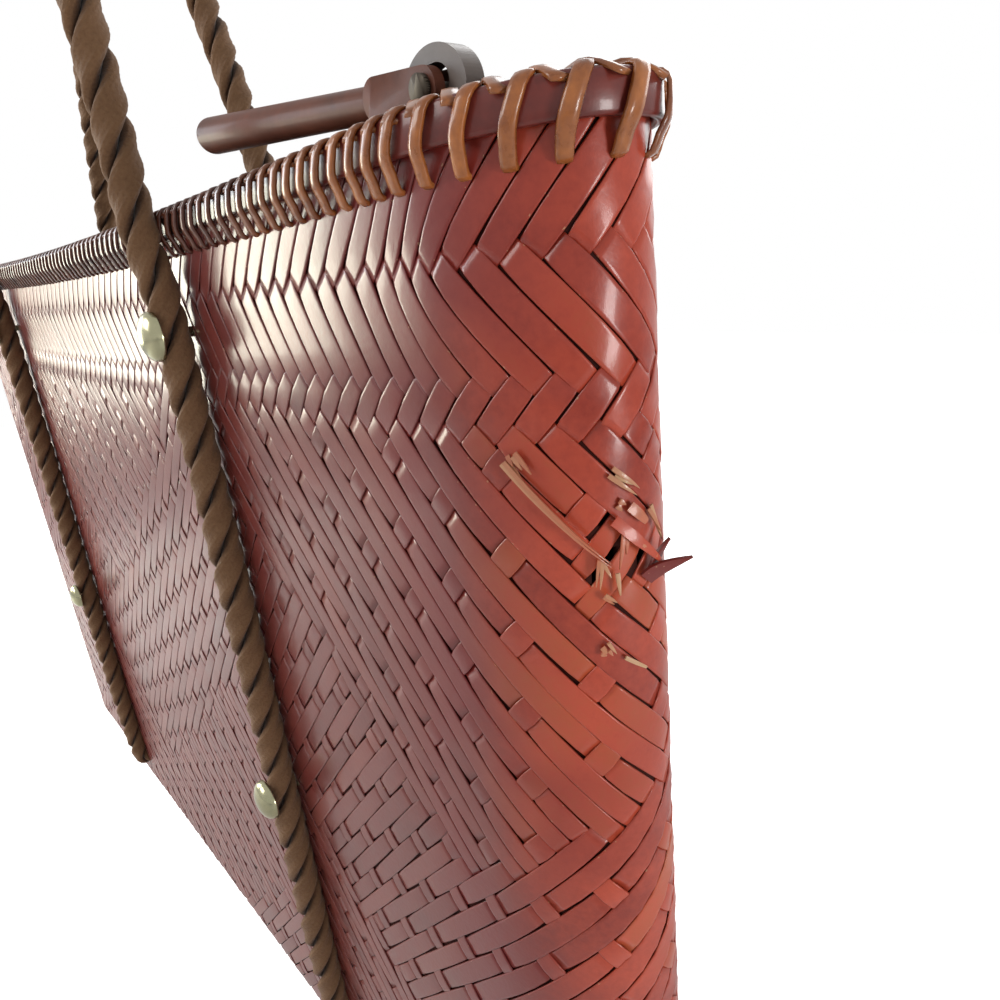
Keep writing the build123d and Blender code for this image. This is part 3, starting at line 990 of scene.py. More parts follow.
@dataclass(frozen=True)
class RopeFinish(Finish):
    """Hairy twisted rope, with painted shade down between its strands."""

    name: str = "rope_fibre"
    # deep is painted shade in the grooves between strands.
    deep: Colour = (0.010, 0.005, 0.003)
    middle: Colour = (0.082, 0.040, 0.020)
    light: Colour = (0.172, 0.093, 0.047)
    groove_shade_share: float = 0.62
    grain_share: float = 0.5
    roughness: float = 0.85
    sheen: float = 0.1
    specular: float = 0.2

    def build(self) -> bpy.types.Material:
        """Builds the material.

        Returns:
            The material.
        """
        material, g, surface = self.start()
        place = g.add("ShaderNodeTexCoord").outputs["Object"]
        depth = g.add("ShaderNodeAttribute", attribute_name="depth").outputs["Fac"]
        grain = Effects.place(g, Effects.grain(), {
            "Vector": place, "Fine Scale": 1500.0, "Blotch Scale": 160.0, "Blotch Share": 0.35,
        })
        # Painted shade: darker towards the grooves between strands.
        value = g.math("ADD", g.math("MULTIPLY", depth, self.groove_shade_share),
                       g.math("MULTIPLY", grain.outputs["Value"], self.grain_share))
        colour = ramp(g, value, [(0.22, self.deep), (0.6, self.middle), (0.92, self.light)])
        g.link(colour, surface, "Base Color")
        bump = g.add("ShaderNodeBump", {"Strength": 0.55, "Distance": 0.0005, "Height": grain.outputs["Height"]})
        g.link(bump.outputs[0], surface, "Normal")
        surface.inputs["Roughness"].default_value = self.roughness
        surface.inputs["Sheen Weight"].default_value = self.sheen
        surface.inputs["Specular IOR Level"].default_value = self.specular
        return material


class Part:
    """A sub-assembly of the bag."""

    body = "bag_body"

    def dress(self, obj: bpy.types.Object, slot: str, nodes: Sequence[str] = ()) -> bpy.types.Object:
        """Fixes a finished piece to its body.

        Args:
            obj: the piece.
            slot: the name of its material slot; not used.
            nodes: the CAD nodes that it stands for.

        Returns:
            The piece.
        """
        if nodes:
            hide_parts(*nodes)
        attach(obj, self.body)
        log.info("%s: %d faces", obj.name, len(obj.data.polygons))
        return obj

    def smooth_copy(self, node: str, material: bpy.types.Material, slot: str, angle: float = 35.0) -> bpy.types.Object:
        """Makes a smooth shaded piece from a CAD node.

        Args:
            node: the CAD node.
            material: its finish.
            slot: the name of its material slot.
            angle: edges sharper than this, in degrees, stay sharp.

        Returns:
            The piece.
        """
        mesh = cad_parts[node].data.copy()
        cleaner = bmesh.new()
        cleaner.from_mesh(mesh)
        bmesh.ops.remove_doubles(cleaner, verts=cleaner.verts, dist=1e-6)
        cleaner.to_mesh(mesh)
        cleaner.free()
        mesh.materials.clear()
        mesh.materials.append(material)
        obj = place_object(node + "_look", mesh)
        mesh.name = obj.name
        mesh.polygons.foreach_set("use_smooth", [True] * len(mesh.polygons))
        mesh.set_sharp_from_angle(angle=math.radians(angle))
        return self.dress(obj, slot, [node])


@dataclass
class Wall(Part):
    """The woven body: strips outside, a thin backing wall and base inside."""

    plan: Plan
    weave: Weave
    wrapping: Wrapping
    backing_inset: float = 0.75
    backing_thickness: float = 1.5
    run_step: float = 6.0
    up_step: float = 8.0
    fine_step: float = 1.0
    fine_reach: float = 4.0
    floor_gap: float = 0.35
    backing_drop: float = 1.5
    short_cells: float = 2.6

    def build(self, lacquer: bpy.types.Material, inside: bpy.types.Material) -> None:
        """Builds and dresses the strips and the backing.

        Args:
            lacquer: finish of the strips.
            inside: finish of the backing.
        """
        short_unit = self.weave.unit_strip("short_strip_unit", (0.0, 0.75, 1.0))
        long_unit = self.weave.unit_strip("long_strip_unit", (0.0, 0.3, 0.6, 0.85, 1.0))
        found = self.weave.floats()
        limit = self.weave.cell * self.short_cells * MM
        for lean, label in ((Lean.RIGHT, "right_leaning_strips"), (Lean.LEFT, "left_leaning_strips")):
            short = [spot for spot in found[lean] if spot["long"] < limit]
            long = [spot for spot in found[lean] if spot["long"] >= limit]
            obj = joined(label, [
                self.wrapping.made(label + "_short", short, short_unit, lacquer, self.weave.shear * MM),
                self.wrapping.made(label + "_long", long, long_unit, lacquer, self.weave.shear * MM),
            ])
            self.dress(obj, "lacquered_bamboo", ["basket_wall"])
        bpy.data.objects.remove(short_unit)
        bpy.data.objects.remove(long_unit)
        self.dress(self.backing(inside), "lacquered_bamboo", ["basket_wall"])

    def levels(self, start: float, end: float, step: float, close: Sequence[float]) -> list[float]:
        """Spacing of a grid, coarse in general and fine near some places.

        Args:
            start: the first value.
            end: the last value.
            step: the coarse spacing.
            close: the places with fine spacing round them.

        Returns:
            The values, in order.
        """
        low, high = min(close) - self.fine_reach, max(close) + self.fine_reach
        count = max(1, round((low - start) / step))
        values = [start + (low - start) * k / count for k in range(count)]
        values += [low + k * self.fine_step for k in range(int((high - low) / self.fine_step))]
        last = values[-1] + self.fine_step
        count = max(1, round((end - last) / step))
        return values + [last + (end - last) * k / count for k in range(count + 1)]

    def backing(self, material: bpy.types.Material) -> bpy.types.Object:
        """Makes the wall behind the strips, open where strips are broken.

        Args:
            material: its finish.

        Returns:
            The closed mesh object.
        """
        runs = self.levels(0.0, 2 * self.plan.half, self.run_step, [hole[0] for hole in self.weave.holes])[:-1]
        top = self.plan.height - self.backing_drop
        ups = self.levels(0.0, top, self.up_step, [hole[1] for hole in self.weave.holes])
        points, faces = [], []
        radius = self.plan.base_radius - self.backing_inset
        for up in ups:
            curl = radius - math.sqrt(radius**2 - (radius - up) ** 2) if up < radius else 0.0
            points += [self.plan.on_wall(run, up + self.floor_gap, -self.backing_inset - curl) for run in runs]
        count = len(runs)
        for k, (low, high) in enumerate(zip(ups, ups[1:])):
            for m, run in enumerate(runs):
                middle = (run + self.fine_step / 2, (low + high) / 2)
                if any(math.hypot(middle[0] - r, middle[1] - u) < size for r, u, size in self.weave.holes):
                    continue
                n = (m + 1) % count
                faces.append((k * count + m, k * count + n, (k + 1) * count + n, (k + 1) * count + m))
        faces.append(tuple(reversed(range(count))))
        obj = mesh_object("backing_wall", points, faces)
        obj.data.materials.append(material)
        shell = obj.modifiers.new("thickness", "SOLIDIFY")
        shell.thickness = self.backing_thickness * MM
        shell.offset = -1.0
        return plain(obj)


@dataclass(frozen=True)
class Sliver:
    """One broken splinter: from one place on the wall to another, as run, height and lift, in millimetres."""

    start: tuple[float, float, float]
    end: tuple[float, float, float]
    width: float
    pale: float
    end_pale: float | None = None
    tone: float = 0.5
    bow: float = 0.0
    taper: float = 0.25
    thickness: float = 0.26


@dataclass
class BrokenStrips(Part):
    """Splinters and the curled strip at the broken place near one end."""

    plan: Plan
    slivers: tuple[Sliver, ...] = (
        Sliver((191.2, 202.6, 0.5), (203.8, 189.0, 0.8), 0.95, 0.9, end_pale=0.25, bow=0.4),
        Sliver((192.4, 203.2, 0.2), (193.8, 201.2, 0.5), 2.2, 0.6, taper=0.8),
        Sliver((205.0, 200.4, 0.3), (208.0, 197.7, 0.5), 1.5, 0.95, bow=0.2, taper=0.6),
        Sliver((205.4, 196.6, 0.3), (207.0, 195.0, 0.5), 1.2, 0.5),
        Sliver((210.4, 194.6, 0.3), (211.6, 190.4, 0.8), 1.0, 0.8),
        Sliver((202.9, 189.2, 0.5), (202.3, 184.9, 0.7), 0.8, 0.9),
        Sliver((203.2, 188.8, 0.6), (204.0, 186.9, 0.8), 0.5, 0.7),
        Sliver((204.9, 187.2, 0.5), (205.0, 184.2, 0.8), 0.6, 0.8),
        Sliver((202.8, 184.6, 0.4), (205.0, 182.2, 0.6), 0.8, 0.8),
        Sliver((206.4, 192.6, 0.4), (205.6, 188.4, 0.5), 1.0, 0.5),
        Sliver((204.8, 194.4, 0.6), (211.2, 187.0, 1.2), 1.5, 0.0, tone=0.55, bow=0.5),
        Sliver((207.0, 195.8, 0.5), (209.2, 193.2, 0.7), 1.4, 0.3, tone=0.6, bow=0.2, taper=0.6),
        Sliver((202.2, 176.6, 0.4), (203.6, 175.0, 0.5), 1.2, 1.0, taper=0.7),
        Sliver((203.2, 177.0, 0.4), (203.8, 175.6, 0.5), 0.8, 0.9, taper=0.7),
        Sliver((205.4, 174.8, 0.4), (208.4, 172.4, 0.5), 0.6, 0.95, taper=0.6),
        Sliver((209.4, 185.0, 0.0), (212.4, 187.9, 4.9), 2.9, 0.0, tone=-0.7, bow=-0.9, taper=0.04, thickness=0.4),
        Sliver((210.2, 186.0, 0.3), (211.8, 190.3, 2.1), 1.7, 0.0, tone=-0.7, bow=-0.3, taper=0.05, thickness=0.4),
    )
    slices: int = 10
    seed: int = 11
    sharp_angle: float = 35.0
    least_pale: float = 0.35
    fibre_width: float = 0.5
    fibre_fill: float = 1.25
    fibre_taper: float = 0.12
    fibre_pale: tuple[float, float] = (0.45, 1.0)
    fibre_bow: tuple[float, float] = (-0.1, 0.15)
    start_play: tuple[float, float] = (-0.5, 0.7)
    start_lift: tuple[float, float] = (-0.15, 0.2)
    end_play: tuple[float, float] = (-1.6, 0.8)
    end_side: float = 0.25
    end_lift: tuple[float, float] = (-0.1, 0.35)

    def frayed(self, sliver: Sliver, chance: random.Random) -> list[Sliver]:
        """Splits a pale splinter into uneven fibres, side by side.

        Args:
            sliver: the whole splinter.
            chance: the random source.

        Returns:
            Its fibres, or the splinter itself where it is lacquered.
        """
        count = max(1, round(sliver.width / self.fibre_width))
        if sliver.pale < self.least_pale or count == 1:
            return [sliver]
        a, b = Vector(sliver.start), Vector(sliver.end)
        ahead = Vector((b.x - a.x, b.y - a.y, 0)).normalized()
        side = Vector((-ahead.y, ahead.x, 0))
        fibres = []
        for k in range(count):
            shift = side * ((k - (count - 1) / 2) * sliver.width / count)
            start = a + shift + ahead * chance.uniform(*self.start_play)
            start.z += chance.uniform(*self.start_lift)
            end = b + shift + ahead * chance.uniform(*self.end_play)
            end += side * chance.uniform(-self.end_side, self.end_side)
            end.z += chance.uniform(*self.end_lift)
            fibres.append(replace(
                sliver, start=tuple(start), end=tuple(end), width=sliver.width / count * self.fibre_fill,
                pale=sliver.pale * chance.uniform(*self.fibre_pale), taper=self.fibre_taper,
                bow=sliver.bow + chance.uniform(*self.fibre_bow),
            ))
        return fibres

    def piece(self, number: int, sliver: Sliver) -> bpy.types.Object:
        """Makes one splinter.

        Args:
            number: the splinter's number, for its name.
            sliver: where it lies and its sizes.

        Returns:
            The closed mesh, with its pale and tone values.
        """
        a, b = Vector(sliver.start), Vector(sliver.end)
        path = []
        for k in range(self.slices + 1):
            t = k / self.slices
            run, up, lift = a.lerp(b, t)
            path.append(self.plan.on_wall(run, up, lift + sliver.bow * math.sin(math.pi * t)))
        run, up, lift = a.lerp(b, 0.5)
        out = (self.plan.on_wall(run, up, lift + 1.0) - self.plan.on_wall(run, up, lift)).normalized()

        def ring(t: float) -> list[tuple[float, float]]:
            """Section at a share of the length: full at first, then narrowing to the end's share of the width.

            Args:
                t: the share, 0 to 1.

            Returns:
                The section's points.
            """
            past = max(t - 0.2, 0.0) / 0.8
            narrow = sliver.taper + (1 - sliver.taper) * math.sin(math.pi * (0.5 + 0.5 * past))
            half, thick = sliver.width / 2 * MM * max(narrow, sliver.taper), sliver.thickness / 2 * MM
            return [(-half, -thick), (half, -thick), (half, thick), (0.0, thick * 1.4), (-half, thick)]

        obj = swept(f"splinter_{number}", path, ring, out)
        last = sliver.pale if sliver.end_pale is None else sliver.end_pale
        start, run = path[0], path[-1] - path[0]
        pale = []
        for vertex in obj.data.vertices:
            share = max(0.0, min(1.0, (vertex.co - start).dot(run) / run.length_squared))
            pale.append(sliver.pale + (last - sliver.pale) * share)
        obj.data.attributes.new("pale", "FLOAT", "POINT").data.foreach_set("value", pale)
        obj.data.attributes.new("tone", "FLOAT", "POINT").data.foreach_set("value", [sliver.tone] * len(pale))
        return obj

    def build(self, lacquer: bpy.types.Material) -> None:
        """Builds and dresses all splinters as one piece.

        Args:
            lacquer: their finish.
        """
        chance = random.Random(self.seed)
        fibres = [fibre for sliver in self.slivers for fibre in self.frayed(sliver, chance)]
        obj = joined("broken_strips", [self.piece(k, fibre) for k, fibre in enumerate(fibres)])
        obj.data.materials.append(lacquer)
        obj.data.set_sharp_from_angle(angle=math.radians(self.sharp_angle))
        self.dress(obj, "lacquered_bamboo")


@dataclass
class Rim(Part):
    """Cane wound over the two hoops, as stitches and as crossings over the top."""

    plan: Plan
    wrapping: Wrapping
    face_pitch: float = 4.3
    end_pitch: float = 6.0
    end_reach: float = 34.0
    end_fade: float = 12.0
    last_share: float = 0.7
    seed: int = 3
    run_play: float = 0.25
    turn_play: float = 2.0
    width_play: tuple[float, float] = (0.92, 1.08)
    stitch_width: float = 1.95
    stitch_slant: float = 2.6
    slant_power: float = 1.7
    slant_reach: float = 3.0
    swell: float = 0.35
    outside: float = 2.3
    inside: float = -6.1
    top: float = -0.2
    drop: float = 6.6
    corner: float = 1.7
    through: float = -1.6
    stitch_low: float = -9.6
    tail: tuple[tuple[float, float], ...] = (
        (-1.4, 0.6), (-0.2, 0.0), (0.7, 0.5), (1.05, 1.4), (1.3, 2.3), (1.7, 3.1), (2.05, 3.8), (2.25, 4.6), (2.3, 5.6),
    )
    strip_thickness: float = 0.6
    strip_section: tuple[tuple[float, float], ...] = (
        (-0.5, -0.9), (-0.42, -0.15), (-0.15, 0.0), (0.15, 0.0), (0.42, -0.15), (0.5, -0.9),
    )
    crossing_run: float = 5.6
    crossing_steps: int = 8
    crossing_rise: float = 2.0
    crossing_sink: float = 1.9
    crossing_inset: float = 0.3
    crossing_half: float = 0.62

    def section(self) -> list[tuple[float, float]]:
        """Path of the winding round the rim, from the outside top over to the inside, under, and up the outside.

        Returns:
            The closed path's points, as lift and height.
        """
        low, high = -self.drop, self.top
        r = self.corner
        corners_at = ((self.outside - r, high - r, 0), (self.inside + r, high - r, 90), (self.inside + r, low + r, 180))
        path = []
        for cx, cy, start in corners_at:
            for a in (0, 30, 60, 90):
                t = math.radians(start + a)
                path.append((cx + r * math.cos(t), cy + r * math.sin(t)))
        return path + [(lift, self.stitch_low + up) for lift, up in self.tail]

    def runs(self) -> list[float]:
        """Spaces the stitches along the rim: close on the faces, wider apart round the two ends.

        Returns:
            The stitches' runs.
        """
        places, run = [], 0.0
        while run < 2 * self.plan.half - self.face_pitch * self.last_share:
            places.append(run)
            away = abs((run % self.plan.half) - self.plan.half / 2)
            share = max(0.0, min(1.0, (self.end_reach - away) / self.end_fade))
            run += self.face_pitch + (self.end_pitch - self.face_pitch) * share
        return places

    def unit_stitch(self) -> bpy.types.Object:
        """Makes one stitch: a closed ring of crowned strip, slanted one way outside and the other way inside.

        Returns:
            The closed mesh object.
        """
        path = self.section()
        count, n = len(path), len(self.strip_section)
        low = min(p[1] for p in path)
        high = max(p[1] for p in path)
        middle = (self.outside + self.inside) / 2
        points, faces = [], []
        for k, (lift, up) in enumerate(path):
            a, b = path[k - 1], path[(k + 1) % count]
            tangent = Vector((b[0] - a[0], b[1] - a[1])).normalized()
            normal = Vector((tangent.y, -tangent.x))
            share = (up - low) / (high - low)
            reach = 1.0 if lift > self.through else min(abs(lift - middle) / self.slant_reach, 1.0)
            side = 1 if lift > middle else -1
            slant = self.stitch_slant * (share**self.slant_power - 0.5) * side * reach
            swell = self.swell * math.sin(math.pi * share)
            for x, z in self.strip_section:
                depth = z * self.strip_thickness + swell
                place = Vector((x * self.stitch_width + slant, up + normal.y * depth, lift + normal.x * depth))
                points.append(place * MM)
        for k in range(count):
            faces += band(k * n, (k + 1) % count * n, n)
        return outward(mesh_object("stitch_unit", points, faces))

    def unit_crossing(self) -> bpy.types.Object:
        """Makes one crossing: a short strip over the rim's top, slanted against the stitches.

        Returns:
            The closed mesh object.
        """
        span = self.outside - self.inside - 2 * self.crossing_inset
        path = []
        for k in range(self.crossing_steps + 1):
            share = k / self.crossing_steps
            up = math.sin(math.pi * share) * self.crossing_rise - self.crossing_sink
            lift = self.outside - self.crossing_inset - share * span
            path.append(Vector(((0.5 - share) * self.crossing_run, up, lift)) * MM)
        half, thick = self.stitch_width * self.crossing_half * MM, self.strip_thickness * 0.5 * MM
        across = [(-half, -thick), (-half * 0.8, thick * 0.7), (0.0, thick), (half * 0.8, thick * 0.7), (half, -thick)]
        return swept("crossing_unit", path, lambda _: across, Vector((0, 1, 0)))

    def build(self, cane: bpy.types.Material) -> None:
        """Builds and dresses the winding.

        Args:
            cane: its finish.
        """
        chance = random.Random(self.seed)
        unit = self.unit_stitch()
        spots = [{
            "run": run + chance.uniform(-self.run_play, self.run_play),
            "up": self.plan.height,
            "lift": 0.0,
            "lean": math.radians(chance.uniform(-self.turn_play, self.turn_play)),
            "wide": chance.uniform(*self.width_play),
            "long": 1.0,
            "tone": chance.random(),
        } for run in self.runs()]
        winding = self.wrapping.made("rim_stitches", spots, unit, cane)
        bpy.data.objects.remove(unit)
        self.dress(winding, "cane_lashing", ["rim_lashing"])
        unit = self.unit_crossing()
        for spot in spots:
            spot["run"] += self.face_pitch / 2
            spot["tone"] = chance.random()
        winding = self.wrapping.made("rim_crossings", spots, unit, cane)
        bpy.data.objects.remove(unit)
        self.dress(winding, "cane_lashing", ["rim_lashing"])


@dataclass
class RopeHandle(Part):
    """One twisted rope: down a face and through the wall; its knots and studs are built by their own parts."""

    face: Face
    leg: float
    arch: tuple[tuple[float, float], ...]
    top: tuple[float, float] | None
    lift_inset: float
    rope_line: float = 18.6
    rim_line: float = 20.9
    exit_height: float = 13.5
    turn_run: float = 6.6
    lift_low: float = 229.0
    lift_high: float = 238.4
    rim: float = 245.0
    diameter: float = 7.0
    strands: int = 2
    lay: float = 23.4
    yarns: int = 11
    yarn_points: int = 3
    yarn_ridge: float = 0.05
    strand_deep: float = 0.52
    strand_wide: float = 0.90
    groove: float = 0.45
    line_steps: int = 16
    ring_step: float = 1.1

    def __post_init__(self) -> None:
        """Names the rope after its face."""
        self.label = self.face.name.lower()
        self.node = f"{self.label}_rope_handle"

    def route(self) -> list[Vector]:
        """Lays out the rope's route, as the CAD part has it.

        Returns:
            The route's points, in metres.
        """
        side = self.face.value
        turn = self.turn_run / math.sqrt(2)
        x = self.leg
        half = [(x, side * (self.rope_line - turn - self.turn_run), self.exit_height),
                (x, side * (self.rope_line - turn), self.exit_height),
                (x, side * self.rope_line, self.exit_height + turn),
                (x, side * self.rope_line, self.lift_low),
                (x - self.lift_inset, side * self.rim_line, self.lift_high)]
        half += [(x - inward, side * self.rim_line, self.rim + up) for inward, up in self.arch]
        middle = [(self.top[0], side * self.rim_line, self.rim + self.top[1])] if self.top else []
        points = half + middle + [(-px, py, pz) for px, py, pz in reversed(half)]
        return [Vector(p) * MM for p in points]

    def centreline(self) -> bpy.types.Object:
        """Makes the rope's own line as one open NURBS curve.

        Returns:
            The curve object.
        """
        data = bpy.data.curves.new(self.label + "_rope_line", "CURVE")
        data.dimensions = "3D"
        spline = data.splines.new("NURBS")
        route = self.route()
        spline.points.add(len(route) - 1)
        for point, place in zip(spline.points, route):
            point.co = (*place, 1.0)
        spline.order_u = 3
        spline.use_endpoint_u = True
        data.resolution_u = self.line_steps
        return place_object(self.label + "_rope_line", data)

    def followed(self, line: bpy.types.Object) -> list[Vector]:
        """Follows a curve in short steps.

        Args:
            line: the curve object.

        Returns:
            The points along it.
        """
        bpy.context.view_layer.update()
        depsgraph = bpy.context.evaluated_depsgraph_get()
        mesh = bpy.data.meshes.new_from_object(line.evaluated_get(depsgraph), depsgraph=depsgraph)
        points = [v.co.copy() for v in mesh.vertices]
        bpy.data.meshes.remove(mesh)
        return points

    def strand_tree(self) -> Graph:
        """Builds the Geometry Nodes that twist strands of off-centre section round a path.

        Returns:
            The graph.
        """
        g = Graph.geometry(self.label + "_strands", [
            ("Lay", "NodeSocketFloat"), ("Rings", "NodeSocketInt"), ("Material", "NodeSocketMaterial"),
            ("Section", "NodeSocketObject")])
        curve = g.add("GeometryNodeMeshToCurve", {0: g.entry.outputs["Geometry"]})
        even = g.add("GeometryNodeResampleCurve", {"Curve": curve.outputs[0], "Count": g.entry.outputs["Rings"]})
        along = g.add("GeometryNodeSplineParameter").outputs["Length"]
        turn = g.math("MULTIPLY", g.math("DIVIDE", along, g.entry.outputs["Lay"]), 2 * math.pi)
        section = g.add("GeometryNodeObjectInfo", {"Object": g.entry.outputs["Section"]}).outputs["Geometry"]
        join = g.add("GeometryNodeJoinGeometry")
        for k in range(self.strands):
            tilt = g.math("ADD", turn, 2 * math.pi * k / self.strands)
            turned = g.add("GeometryNodeSetCurveTilt", {"Curve": even.outputs[0], "Tilt": tilt})
            tube = g.add("GeometryNodeCurveToMesh", {
                "Curve": turned.outputs[0], "Profile Curve": section, "Fill Caps": True,
            })
            g.tree.links.new(tube.outputs[0], join.inputs[0])
        real = g.add("GeometryNodeRealizeInstances", {0: join.outputs[0]})
        smooth = g.add("GeometryNodeSetShadeSmooth", {0: real.outputs[0]})
        dressed = g.add("GeometryNodeSetMaterial", {
            "Geometry": smooth.outputs[0], "Material": g.entry.outputs["Material"],
        })
        g.finish("Geometry", dressed.outputs[0])
        return g

    def strand_section(self, radius: float) -> bpy.types.Object:
        """Makes one strand's section, a soft oval beside the rope's axis with small yarn ridges.

        Args:
            radius: the rope's radius, in metres.

        Returns:
            The closed curve object.
        """
        count = self.yarns * self.yarn_points
        deep, wide = radius * self.strand_deep, radius * self.strand_wide
        data = bpy.data.curves.new("strand_section", "CURVE")
        data.dimensions = "3D"
        spline = data.splines.new("POLY")
        spline.points.add(count - 1)
        for k in range(count):
            a = 2 * math.pi * k / count
            ridge = 1.0 - self.yarn_ridge * (k % self.yarn_points == 0)
            x = deep * math.copysign(abs(math.cos(a)) ** 0.85, math.cos(a)) * ridge
            y = wide * math.copysign(abs(math.sin(a)) ** 0.95, math.sin(a)) * ridge
            spline.points[k].co = (radius - deep + x, y, 0, 1)
        spline.use_cyclic_u = True
        return place_object("strand_section", data)

    def build(self, rope: bpy.types.Material) -> None:
        """Builds and dresses the rope.

        Args:
            rope: its finish.
        """
        line = self.centreline()
        path = self.followed(line)
        bpy.data.objects.remove(line)
        length = sum((b - a).length for a, b in zip(path, path[1:]))
        radius = self.diameter / 2
        edges = mesh_object(self.node + "_look", path, [])
        edges.data.edges.add(len(path) - 1)
        edges.data.edges.foreach_set("vertices", [n for k in range(len(path) - 1) for n in (k, k + 1)])
        section = self.strand_section(radius * MM)
        obj = self.strand_tree().on(edges, {
            "Lay": self.lay * MM, "Rings": int(length / (self.ring_step * MM)), "Material": rope, "Section": section,
        })
        bpy.data.objects.remove(section)
        self.mark_depth(obj, path)
        self.dress(obj, "twisted_rope", [self.node])
        log.info("%s length %.1f mm", self.node, length / MM)

    def mark_depth(self, obj: bpy.types.Object, path: Sequence[Vector]) -> None:
        """Stores how near each point is to the rope's outside, 0 in a groove and 1 at the outside; the rope finish
        paints shade into the grooves from it.

        Args:
            obj: the rope.
            path: points along its middle.
        """
        tree = KDTree(len(path))
        for k, p in enumerate(path):
            tree.insert(p, k)
        tree.balance()
        radius = self.diameter / 2 * MM
        values = []
        for v in obj.data.vertices:
            _, k, _ = tree.find(v.co)
            best = 1.0
            for a in range(max(k - 2, 0), min(k + 2, len(path) - 1)):
                start, end = path[a], path[a + 1]
                run = end - start
                t = max(0.0, min(1.0, (v.co - start).dot(run) / max(run.length_squared, 1e-12)))
                best = min(best, (v.co - start - run * t).length)
            values.append(max(0.0, min(1.0, (best / radius - self.groove) / (1 - self.groove))))
        obj.data.attributes.new("depth", "FLOAT", "POINT").data.foreach_set("value", values)


@dataclass
class Studs(Part):
    """Domed studs that hold the rope legs, with their shanks through the wall."""

    head_radius: float = 5.2
    head_height: float = 3.4
    dome_share: float = 0.82
    dome_radius: float = 0.985
    dome_steps: int = 9
    edge: tuple[tuple[float, float], ...] = ((0.88, 1.0), (0.97, 0.99), (1.0, 0.94))
    shank_radius: float = 1.1
    tip_length: float = 0.8
    tip_radius: float = 0.7
    points_round: int = 32
    sharp_angle: float = 50.0

    def build(self, metal: bpy.types.Material) -> None:
        """Builds and dresses the eight studs.

        Args:
            metal: their finish.
        """
        for node in sorted(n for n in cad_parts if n.endswith("_stud")):
            low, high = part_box(node)
            side = 1 if (low[1] + high[1]) > 0 else -1
            face = high[1] if side > 0 else low[1]
            centre = Vector(((low[0] + high[0]) / 2, face, (low[2] + high[2]) / 2))
            inner = abs(high[1] - low[1])
            head, rim, shank = self.head_height * MM, self.head_radius * MM, self.shank_radius * MM
            profile = [(0.0, 0.0)]
            for k in range(1, self.dome_steps + 1):
                a = math.pi / 2 * k / self.dome_steps
                profile.append((head * self.dome_share * (1 - math.cos(a)), rim * math.sin(a) * self.dome_radius))
            profile += [(head * along, rim * out) for along, out in self.edge] + [(head, shank)]
            profile += [(inner - self.tip_length * MM, shank), (inner, shank * self.tip_radius), (inner, 0.0)]
            stud = lathed(node + "_look", profile, centre, Vector((0, -side, 0)), self.points_round)
            stud.data.set_sharp_from_angle(angle=math.radians(self.sharp_angle))
            stud.data.materials.append(metal)
            self.dress(stud, "stud_metal", [node])


@dataclass
class Knots(Part):
    """The rope ends' knots inside the bag."""

    tube_radius: float = 2.1
    tube_points: int = 10
    steps: int = 96
    depth: float = 0.55

    def build(self, rope: bpy.types.Material) -> None:
        """Builds and dresses the four knots, each a trefoil fitted in its CAD node's box.

        Args:
            rope: their finish.
        """
        for node in sorted(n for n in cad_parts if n.endswith("_rope_knot")):
            low, high = (Vector(c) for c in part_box(node))
            centre, half = (low + high) / 2, (high - low) / 2
            room = half - Vector((1, 1, 1)) * self.tube_radius * MM
            path = []
            for k in range(self.steps + 1):
                t = 2 * math.pi * k / self.steps
                x, z = math.sin(t) + 2 * math.sin(2 * t), math.cos(t) - 2 * math.cos(2 * t)
                y = -math.sin(3 * t)
                path.append(centre + Vector((x / 3 * room.x, y * room.y, z / 3 * room.z)))
            ring = circle(self.tube_radius * MM, self.tube_points)
            knot = swept(node + "_look", path, lambda _: ring, Vector((0.2, 1, 0.1)))
            knot.data.materials.append(rope)
            depth = knot.data.attributes.new("depth", "FLOAT", "POINT").data
            depth.foreach_set("value", [self.depth] * len(knot.data.vertices))
            self.dress(knot, "twisted_rope", [node])


@dataclass
class Closure(Part):
    """The lug on the rim, with its nails. Its arch is spread a little wider than the CAD plate's."""

    foot_level: float = 247.0
    spread_height: float = 4.0
    spread: float = 0.24

    def build(self, lug: bpy.types.Material, small: bpy.types.Material) -> None:
        """Dresses the lug and its nails.

        Args:
            lug: finish of the lug.
            small: finish of the nails.
        """
        plate = self.smooth_copy("closure_lug", lug, "lug_metal")
        low, high = (Vector(c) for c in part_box("closure_lug"))
        middle, foot = (low.x + high.x) / 2, self.foot_level * MM
        for vertex in plate.data.vertices:
            share = max(0.0, min(1.0, (vertex.co.z - foot) / (self.spread_height * MM)))
            vertex.co.x = middle + (vertex.co.x - middle) * (1 + self.spread * share)
        for side in ("left", "right"):
            self.smooth_copy(f"lug_nail_{side}", small, "small_metal")


class Lever(Part):
    """The swinging bar and its pin."""

    body = "lever"

    def build(self, bar: bpy.types.Material, small: bpy.types.Material) -> None:
        """Dresses the bar and its pin.

        Args:
            bar: finish of the bar.
            small: finish of the pin.
        """
        self.smooth_copy("closure_lever", bar, "lacquered_bar")
        self.smooth_copy("lever_pin", small, "small_metal")


